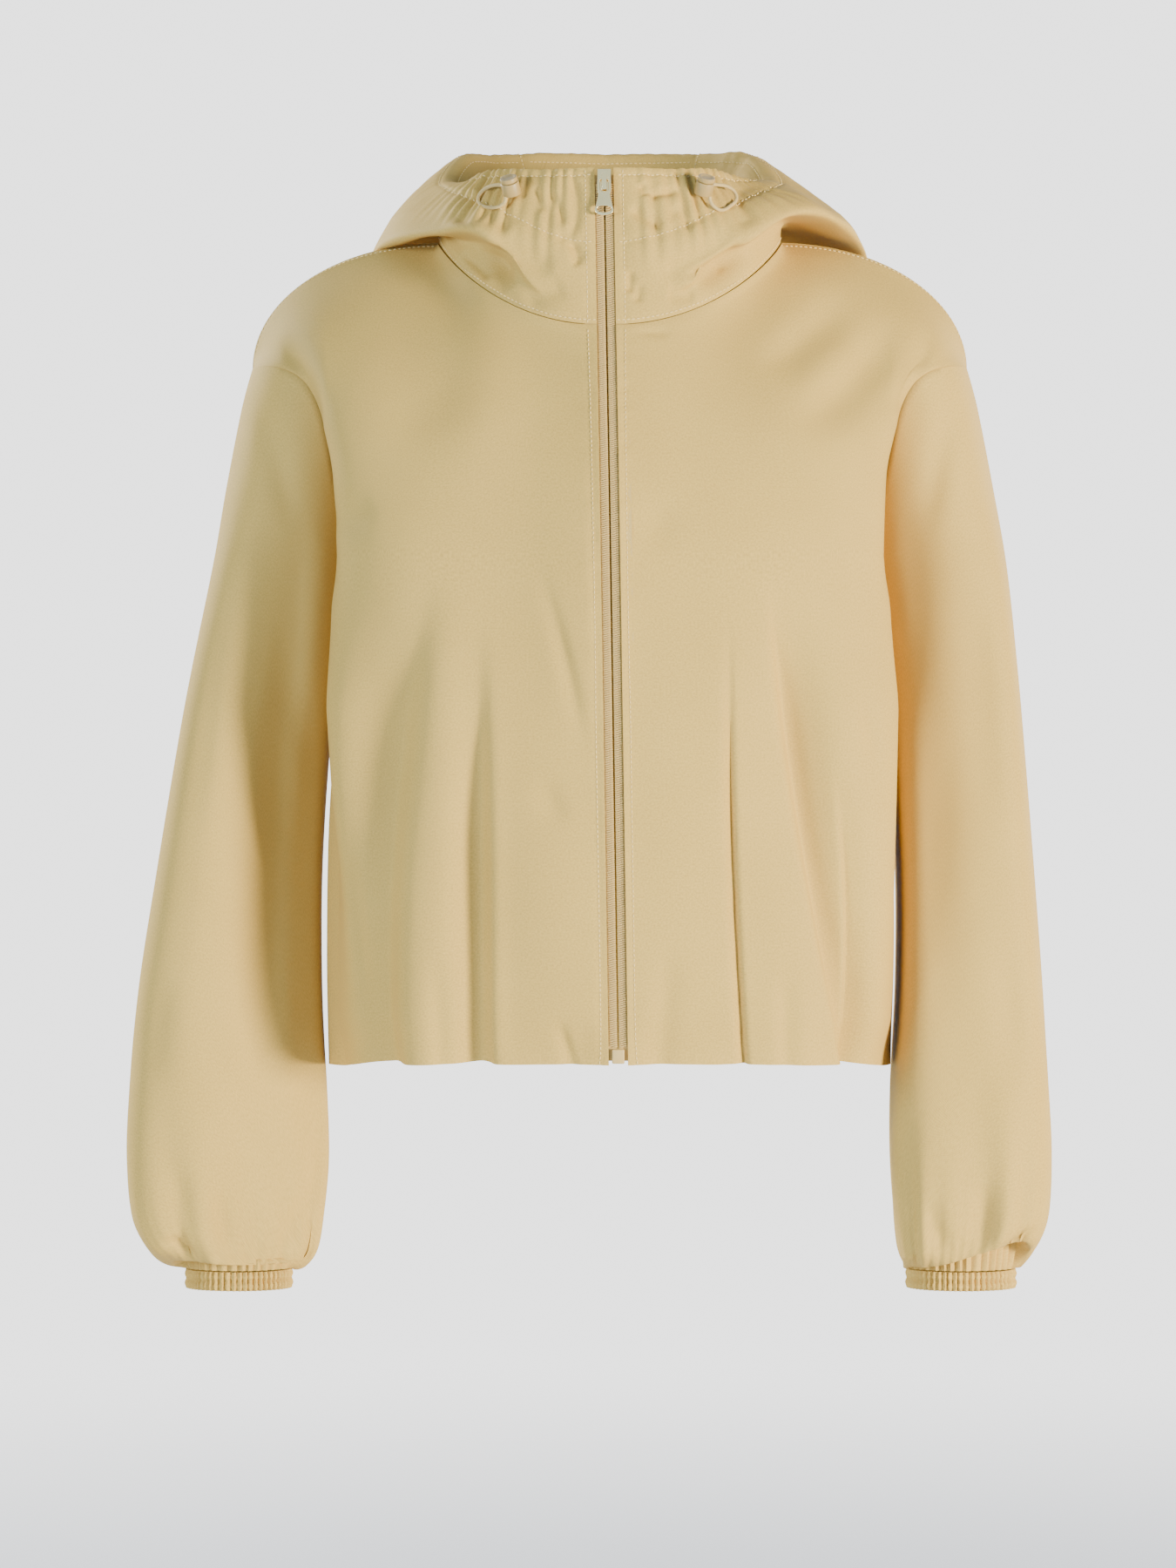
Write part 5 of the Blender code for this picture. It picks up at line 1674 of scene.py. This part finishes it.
    def sew_casing(self, panel: ClothPanel, places: Array, column: Array, angle: Array) -> None:
        """Add the two rows of casing stitches to a panel.

        Args:
            panel: the panel.
            places: place of each of its rows up the section.
            column: columns that the stitches pass.
            angle: the angle at each of those columns.
        """
        number = np.arange(len(places), dtype=float)
        for line in self.casing_lines(angle):
            self.sewing.add(panel.sample(column, np.interp(line, places, number)))

    def side(self, side: Side) -> ClothPanel:
        """One side of the hood."""
        places = self.places()
        angle, place = np.meshgrid(self.side_angles(), places)
        points = self.settle(angle, self.form.hood_point(angle, place, side.hand, HOOD_FOLD[side]))
        panel = ClothPanel("cloth_hood_" + side.value, points, side is Side.LEFT)
        front = 1.0 - ease(*self.crease_angles, angle)
        depth = self.crease_share * pressed(HOOD_CREASES[side], points) * front
        depth += self.gathers(angle, place, side.hand)
        depth += self.casing(angle, place) + HOOD_RIPPLE[side].press(panel.across, panel.along)
        depth *= panel.from_edges(*self.side_edges)
        depth += self.seam_dip.press(panel.to_last())
        depth += self.stitch_dip.press(panel.across - self.placket_stitch)
        panel.press(depth)
        self.sew(panel, places)
        return self.faced(panel, angle)

    def faced(self, panel: ClothPanel, angle: Array) -> ClothPanel:
        """The panel with its rim turned in."""
        return ClothPanel(panel.name, self.with_facing(panel.points, angle), panel.flip)

    def sew(self, panel: ClothPanel, places: Array) -> None:
        """Add the rows of stitches on a side: placket, neck seam, casing and back seam."""
        self.sewing.add(panel.column_line(self.placket_stitch))
        self.sewing.add(panel.row_line(self.seam_stitch))
        self.sewing.add(panel.column_line(self.back_stitch, last=True), self.back_stitch_from, 1.0)
        column = np.arange(2.0, self.side_columns, 0.5)
        angle = np.interp(column, np.arange(self.side_columns + 1), self.side_angles())
        self.sew_casing(panel, places, column, angle)

    def centre(self) -> ClothPanel:
        """The middle panel of the hood, behind the neck."""
        edge = self.seam_angle()
        places = self.places()
        turn, place = np.meshgrid(np.linspace(edge, 360.0 - edge, self.centre_columns + 1), places)
        angle = 180.0 - np.abs(180.0 - turn)
        hands = np.where(turn <= 180.0, 1.0, -1.0)
        points = self.settle(angle, self.form.hood_point(angle, place, hands))
        panel = ClothPanel("cloth_hood_centre", points, False)
        depth = self.gathers(turn, place, self.centre_phase) + self.casing(angle, place)
        depth += HOOD_CENTRE_RIPPLE.press(panel.across, panel.along)
        depth *= panel.from_edges(*self.centre_edges)
        depth += self.seam_dip.press(panel.across) + self.seam_dip.press(panel.to_last())
        panel.press(depth)
        column = np.arange(1.0, self.centre_columns, 0.5)
        seen = 180.0 - np.abs(180.0 - blend(edge, 360.0 - edge, column / self.centre_columns))
        self.sew_casing(panel, places, column, seen)
        return self.faced(panel, angle)

    def build(self, finishes: Finishes) -> None:
        """Build and dress the three panels."""
        for side in Side:
            sew_sheet(self.side(side), finishes.twill, "hood_" + side.value)
        sew_sheet(self.centre(), finishes.twill, "hood_centre")


@dataclass(frozen=True)
class PullTab:
    """The tab that swings on the slider, with a window for the bridge above and an oval hole at its foot.

    Its outline gives half its width and the height from the pivot, from the top to the foot.
    """

    pivot: tuple[float, float, float] = (-0.003864, -0.078295, 0.035205)
    thick: float = 0.0014
    rounding: float = 0.0003
    outline: tuple[tuple[float, float], ...] = (
        (0.0, 0.0008), (0.0028, 0.0008), (0.0040, 0.0002), (0.0043, -0.0012), (0.0043, -0.0078),
        (0.0038, -0.0102), (0.0041, -0.0130), (0.0050, -0.0172), (0.0058, -0.0200), (0.0058, -0.0214),
        (0.0050, -0.0230), (0.0030, -0.0241), (0.0, -0.0244),
    )
    window: tuple[float, float, float] = (0.0027, 0.0040, -0.0048)
    hole: tuple[float, float, float] = (0.0044, 0.0022, -0.0204)
    window_squareness: float = 5.0
    hole_squareness: float = 2.4

    def border(self) -> Array:
        """Points round the tab."""
        half = row_at(np.array(self.outline), np.linspace(0.0, len(self.outline) - 1.0, 61))
        return np.concatenate([half, half[-2:0:-1] * np.array([-1.0, 1.0])])

    @staticmethod
    def oval(size: tuple[float, float, float], squareness: float) -> Array:
        """Points round an opening of half a width, half a height and a middle height."""
        turn = np.linspace(0.0, TURN, 48, endpoint=False)
        across = np.copysign(np.abs(np.cos(turn)) ** (2.0 / squareness), np.cos(turn))
        up = np.copysign(np.abs(np.sin(turn)) ** (2.0 / squareness), np.sin(turn))
        return np.stack([size[0] * across, size[1] * up + size[2]], axis=-1)

    def build(self, form: JacketForm) -> bpy.types.Object:
        """Cut the tab from a plate, round its edges and hang it from its pivot."""
        curve = bpy.data.curves.new("zip_pull_tab", "CURVE")
        curve.dimensions = "2D"
        curve.fill_mode = "BOTH"
        curve.extrude = self.thick / 2.0 - self.rounding
        curve.bevel_depth = self.rounding
        curve.bevel_resolution = 2
        curve.offset = -self.rounding
        window = self.oval(self.window, self.window_squareness)
        hole = self.oval(self.hole, self.hole_squareness)
        for ring in (self.border(), window, hole):
            spline = curve.splines.new("POLY")
            spline.points.add(len(ring) - 1)
            spline.use_cyclic_u = True
            for point, (across, up) in zip(spline.points, ring):
                point.co = (across, up, 0.0, 1.0)
        thing = link_new("zip_pull_tab", curve)
        make_active(thing)
        bpy.ops.object.convert(target="MESH")
        line = form.zip_line(400)
        near = int(np.argmin(np.abs(line[:, 2] - self.pivot[2])))
        along = line[near + 2] - line[near - 2]
        lean = Matrix.Rotation(-math.atan2(along[1], along[2]), 4, "X")
        stand = Matrix.Rotation(math.pi / 2.0, 4, "X")
        thing.data.transform(Matrix.Translation(self.pivot) @ lean @ stand)
        with editing():
            bpy.ops.mesh.remove_doubles(threshold=MERGE_DISTANCE)
            bpy.ops.mesh.normals_make_consistent(inside=False)
        bpy.ops.object.shade_smooth_by_angle(angle=SMOOTH_ANGLE)
        return thing


@dataclass
class FrontZip:
    """The zip: tapes, coil, box, slider and pull."""

    form: JacketForm
    tape_near: float = 0.0006
    tape_far: float = 0.0136
    tape_thick: float = 0.0008
    tape_behind: float = 0.0016
    tape_columns: int = 7
    coil_columns: tuple[Span, ...] = ((0.0003, 0.0036), (0.0027, 0.0060))
    coil_thick: float = 0.0013
    coil_behind: float = 0.0006
    coil_pitch: float = 0.0014
    coil_slant: float = 0.14
    coil_share: float = 0.78
    coil_from_hem: float = 0.0118
    coil_to_rim: float = 0.0105
    coil_points: int = 1200
    tape_rows: int = 400
    box_rounding: float = 0.0009
    slider_rounding: float = 0.00035
    tab: PullTab = field(default_factory=PullTab)

    def tape(self, side: Side) -> ClothPanel:
        """One tape, behind the edge of the cloth."""
        line = self.form.zip_line(self.tape_rows)[2:-3]
        offsets = np.linspace(self.tape_near, self.tape_far, self.tape_columns)
        move = np.zeros((len(line), len(offsets), 3))
        move[..., 0] = side.hand * offsets
        move[..., 1] = self.tape_behind
        points = line[:, None, :] + move
        name = "zip_tape_cloth_" + side.value
        return ClothPanel(name, points, side is Side.LEFT, thickness=self.tape_thick)

    def coil(self) -> bpy.types.Object:
        """Both rows of the coil, interlocked down the middle."""
        line = self.form.zip_line(self.coil_points)
        run = run_length(line)
        wanted = np.arange(self.coil_from_hem, run[-1] - self.coil_to_rim, self.coil_pitch)
        places = []
        pairs = [(side, near, far) for side in Side for near, far in self.coil_columns]
        for number, (side, near, far) in enumerate(pairs):
            half = (near + far) / 2.0
            shift = self.coil_pitch / 2.0 * (number % 2)
            right = Vector((side.hand, 0.0, side.hand * self.coil_slant)).normalized()
            spots = read_at(wanted + shift, run, line)
            for spot, up in zip(spots, unit(np.gradient(spots, axis=0))):
                out = right.cross(Vector(up)).normalized() * side.hand
                above = out.cross(right).normalized()
                middle = Vector(spot) + Vector((side.hand * half, self.coil_behind, 0.0))
                places.append(np.array([right, above, out, middle]).T)
        near, far = self.coil_columns[0]
        size = (far - near, self.coil_pitch * self.coil_share, self.coil_thick)
        return repeated("zip_coil", bead(size), places)

    def build(self, finishes: Finishes) -> None:
        """Build and dress every piece of the zip."""
        for side in Side:
            sew_sheet(self.tape(side), finishes.tape, "zip_tape_" + side.value)
        finish_piece(self.coil(), finishes.coil, GARMENT, ("zip_chain",))
        box = softened_copy("zip_box", "zip_bottom_box", self.box_rounding)
        finish_piece(box, finishes.coil, GARMENT, ("zip_box",))
        slider = softened_copy("zip_slider", "zip_slider_body", self.slider_rounding)
        finish_piece(slider, finishes.metal, GARMENT, ("zip_slider",))
        tab = self.tab.build(self.form)
        finish_piece(tab, finishes.metal, PULL, ("zip_pull",))


# Routes of the two cord loops from the lock: across, up and out of the cloth
CORD_ROUTE = {
    Side.LEFT: np.array([
        (-0.0061, 0.0008, -0.0002), (-0.0100, 0.0015, -0.0010), (-0.0150, 0.0018, -0.0024),
        (-0.0200, 0.0010, -0.0040), (-0.0240, -0.0020, -0.0050), (-0.0246, -0.0064, -0.0052),
        (-0.0216, -0.0100, -0.0050), (-0.0170, -0.0120, -0.0044), (-0.0120, -0.0130, -0.0038),
        (-0.0072, -0.0126, -0.0032), (-0.0040, -0.0110, -0.0028), (-0.0027, -0.0092, -0.0022),
        (-0.0025, -0.0071, -0.0012),
    ]),
    Side.RIGHT: np.array([
        (0.0025, -0.0071, -0.0012), (0.0027, -0.0092, -0.0022), (0.0042, -0.0122, -0.0030),
        (0.0080, -0.0150, -0.0036), (0.0126, -0.0146, -0.0042), (0.0172, -0.0118, -0.0046),
        (0.0214, -0.0088, -0.0050), (0.0240, -0.0050, -0.0052), (0.0228, -0.0008, -0.0048),
        (0.0190, 0.0014, -0.0036), (0.0140, 0.0016, -0.0018), (0.0098, 0.0013, -0.0008),
        (0.0060, 0.0011, -0.0003),
    ]),
}


@dataclass
class CordLock:
    """A cord lock, its button, and the loop of cord that comes out of it."""

    form: JacketForm
    side: Side
    angle: float = 32.0
    place: float = 4.93
    clearance: float = 0.0089
    lean: float = 52.0
    set_down: float = 0.0015
    radius: float = 0.0058
    body: float = 0.0085
    neck: float = 0.0003
    button_radius: float = 0.0054
    button_height: float = 0.0030
    cord_diameter: float = 0.0023
    cord_points: int = 36
    facets: int = 40
    rim: float = 0.28
    rim_slope: float = 0.10
    rounding: float = 0.0005
    body_dish: float = 0.0004
    button_dish: float = 0.0005

    def axes(self) -> tuple[Vector, Vector, Vector, Vector]:
        """Middle of the lock with the directions across, up and out of the cloth behind it."""
        def spot(angle: float, place: float) -> Vector:
            """Point of the hood."""
            return Vector(self.form.hood_point(np.array(angle), np.array(place), self.side.hand))

        point = spot(self.angle, self.place)
        across = self.side.hand * (spot(self.angle + 1.0, self.place) - spot(self.angle - 1.0, self.place))
        across.normalize()
        upward = spot(self.angle, self.place + 0.1) - spot(self.angle, self.place - 0.1)
        out = across.cross(upward).normalized()
        return point + out * self.clearance, across, out.cross(across).normalized(), out

    def drum(
        self, name: str, radius: float, height: float, middle: Vector, axis: Vector, dish: float,
    ) -> bpy.types.Object:
        """A moulded drum with round rims and a dished top.

        Args:
            name: the piece's name.
            radius: its radius.
            height: its height.
            middle: its middle.
            axis: the way that its top faces.
            dish: how far the middle of its top is pressed in.

        Returns:
            The piece.
        """
        deselect()
        bpy.ops.mesh.primitive_cylinder_add(vertices=self.facets, radius=radius, depth=height)
        thing = bpy.context.object
        thing.name = name
        bpy.ops.object.mode_set(mode="EDIT")
        bpy.ops.mesh.select_all(action="DESELECT")
        bpy.ops.object.mode_set(mode="OBJECT")
        for face in thing.data.polygons:
            face.select = face.normal.z > 0.9
        bpy.ops.object.mode_set(mode="EDIT")
        bpy.ops.mesh.inset(thickness=radius * self.rim, depth=0.0)
        bpy.ops.mesh.inset(thickness=radius * self.rim_slope, depth=-dish)
        bpy.ops.object.mode_set(mode="OBJECT")
        round_edges(thing, self.rounding)
        turn = axis.to_track_quat("Z", "Y").to_matrix().to_4x4()
        thing.data.transform(Matrix.Translation(middle) @ turn)
        make_active(thing)
        bpy.ops.object.shade_smooth_by_angle(angle=SMOOTH_ANGLE)
        return thing

    def cord(self, middle: Vector, across: Vector, up: Vector, out: Vector) -> bpy.types.Object:
        """The loop of cord."""
        route = CORD_ROUTE[self.side]
        local = row_at(route, np.linspace(0.0, len(route) - 1.0, self.cord_points))
        path = np.array(middle) + local @ np.array([across, up, out])
        curve = bpy.data.curves.new("cord_loop_" + self.side.value, "CURVE")
        curve.dimensions = "3D"
        curve.bevel_depth = self.cord_diameter / 2.0
        curve.bevel_resolution = 4
        curve.use_fill_caps = True
        spline = curve.splines.new("POLY")
        spline.points.add(len(path) - 1)
        for point, spot in zip(spline.points, path):
            point.co = (*spot, 1.0)
        return link_new(curve.name, curve)

    def build(self, finishes: Finishes) -> None:
        """Build and dress the lock, its button and its cord."""
        name = self.side.value
        middle, across, up, out = self.axes()
        lean = math.radians(self.lean)
        axis = up * math.cos(lean) + out * math.sin(lean)
        low = middle - axis * self.set_down
        body = self.drum("cord_lock_body_" + name, self.radius, self.body, low, axis, self.body_dish)
        finish_piece(body, finishes.lock, GARMENT, ("cord_lock_" + name,))
        high = middle + axis * (self.body / 2.0 + self.neck + self.button_height / 2.0 - self.set_down)
        sizes = (self.button_radius, self.button_height)
        button = self.drum("cord_lock_top_" + name, *sizes, high, axis, self.button_dish)
        finish_piece(button, finishes.lock, GARMENT, ("lock_button_" + name,))
        loop = self.cord(middle, across, up, out)
        finish_piece(loop, finishes.cord, GARMENT, ("cord_" + name,))


@dataclass(frozen=True)
class Lamp:
    """A soft studio lamp."""

    name: str
    place: tuple[float, float, float]
    size: float
    power: float
    colour: Colour = (1.0, 1.0, 1.0)


@dataclass
class Studio:
    """Pale surroundings, soft lamps and the camera in front."""

    target: Vector = field(default_factory=lambda: Vector((0.0, 0.0, -0.31)))
    camera_place: tuple[float, float, float] = (-0.014, -3.5, -0.3455)
    lens: float = 125.0
    floor_height: float = -1.05
    floor_radius: float = 3.2
    floor_fade: float = 0.9
    floor_grey: float = 0.72
    backdrop: float = 2.6
    ambient: float = 0.12
    ambient_colour: Colour = (0.56, 0.98, 1.60)
    mirrored: float = 0.45
    lamps: tuple[Lamp, ...] = (
        Lamp("key_lamp", (2.9, -2.2, -0.4), 0.9, 325.0, (1.03, 1.0, 0.93)),
        Lamp("fill_lamp", (-2.9, -2.5, 0.2), 1.4, 140.0, (0.84, 0.98, 1.15)),
        Lamp("front_lamp", (-0.5, -3.4, -0.5), 1.4, 20.0, (0.42, 0.95, 1.85)),
        Lamp("top_lamp", (0.3, 0.3, 2.3), 1.4, 9.0),
        Lamp("back_lamp", (-2.7, 2.4, 1.3), 1.0, 230.0),
        Lamp("back_fill_lamp", (2.4, 2.6, 0.4), 1.6, 70.0),
    )

    def build(self) -> None:
        """Build the floor, the lamps, the surroundings and the camera."""
        self.floor()
        self.world()
        for lamp in self.lamps:
            self.light(lamp)
        camera = bpy.data.cameras.new("front_camera")
        camera.lens = self.lens
        camera.sensor_width = 36.0
        thing = link_new("front_camera", camera)
        thing.location = self.camera_place
        thing.rotation_euler = (math.pi / 2.0, 0.0, 0.0)
        bpy.context.scene.camera = thing

    def light(self, lamp: Lamp) -> None:
        """Add one lamp that faces the jacket."""
        data = bpy.data.lights.new(lamp.name, "AREA")
        data.shape = "DISK"
        data.size = lamp.size
        data.energy = lamp.power
        data.color = lamp.colour
        thing = link_new(lamp.name, data)
        thing.location = lamp.place
        thing.rotation_euler = (self.target - thing.location).to_track_quat("-Z", "Y").to_euler()

    def floor(self) -> None:
        """Pale round floor that fades into the surroundings at its edge."""
        deselect()
        middle = (0.0, 0.0, self.floor_height)
        bpy.ops.mesh.primitive_circle_add(
            vertices=96, radius=self.floor_radius, fill_type="NGON", location=middle,
        )
        thing = bpy.context.object
        thing.name = "studio_floor"
        bpy.ops.object.transform_apply(location=True, rotation=True, scale=True)
        material, board, shader = new_material("pale floor")
        split = board.add("ShaderNodeSeparateXYZ")
        board.feed(board.add("ShaderNodeTexCoord").outputs["Object"], split.inputs[0])
        square = board.math("MULTIPLY", split.outputs[0], split.outputs[0])
        square = board.math("ADD", square, board.math("MULTIPLY", split.outputs[1], split.outputs[1]))
        away = board.add("ShaderNodeMapRange", interpolation_type="SMOOTHSTEP")
        board.fill(away, {
            "Value": board.math("SQRT", square),
            "From Min": self.floor_fade,
            "From Max": self.floor_radius,
            "To Min": 1.0,
            "To Max": 0.0,
        })
        board.fill(shader, {
            "Base Color": (self.floor_grey, self.floor_grey, self.floor_grey, 1.0),
            "Roughness": 0.9,
            "Alpha": away.outputs["Result"],
        })
        thing.data.materials.append(material)

    def world(self) -> None:
        """Pale surroundings: one brightness for what the camera sees, one for the light they give."""
        world = bpy.data.worlds.new("pale surroundings")
        world.use_nodes = True
        bpy.context.scene.world = world
        board = Board(world.node_tree)
        background = world.node_tree.nodes["Background"]
        path = board.add("ShaderNodeLightPath")
        mirrored = board.math("MULTIPLY", path.outputs["Is Glossy Ray"], self.mirrored)
        seen = board.math("MAXIMUM", path.outputs["Is Camera Ray"], mirrored)
        colour = board.mix(seen, (*self.ambient_colour, 1.0), (1.0, 1.0, 1.0, 1.0))
        board.feed(colour, background.inputs["Color"])
        extra = board.math("MULTIPLY", seen, self.backdrop - self.ambient)
        board.feed(board.math("ADD", extra, self.ambient), background.inputs["Strength"])


def main() -> None:
    """Build the jacket and its surroundings."""
    logging.basicConfig(level=logging.INFO, format="%(name)s: %(message)s")
    form = JacketForm()
    finishes = Finishes.make()
    sewing = Sewing()
    Studio().build()
    for side in Side:
        CordLock(form, side).build(finishes)
    JacketBody(form, sewing).build(finishes)
    for side in Side:
        JacketSleeve(form, side).build(finishes)
    JacketHood(form, sewing).build(finishes)
    FrontZip(form).build(finishes)
    finish_piece(sewing.build(), finishes.thread, GARMENT)


if __name__ == "__main__":
    main()
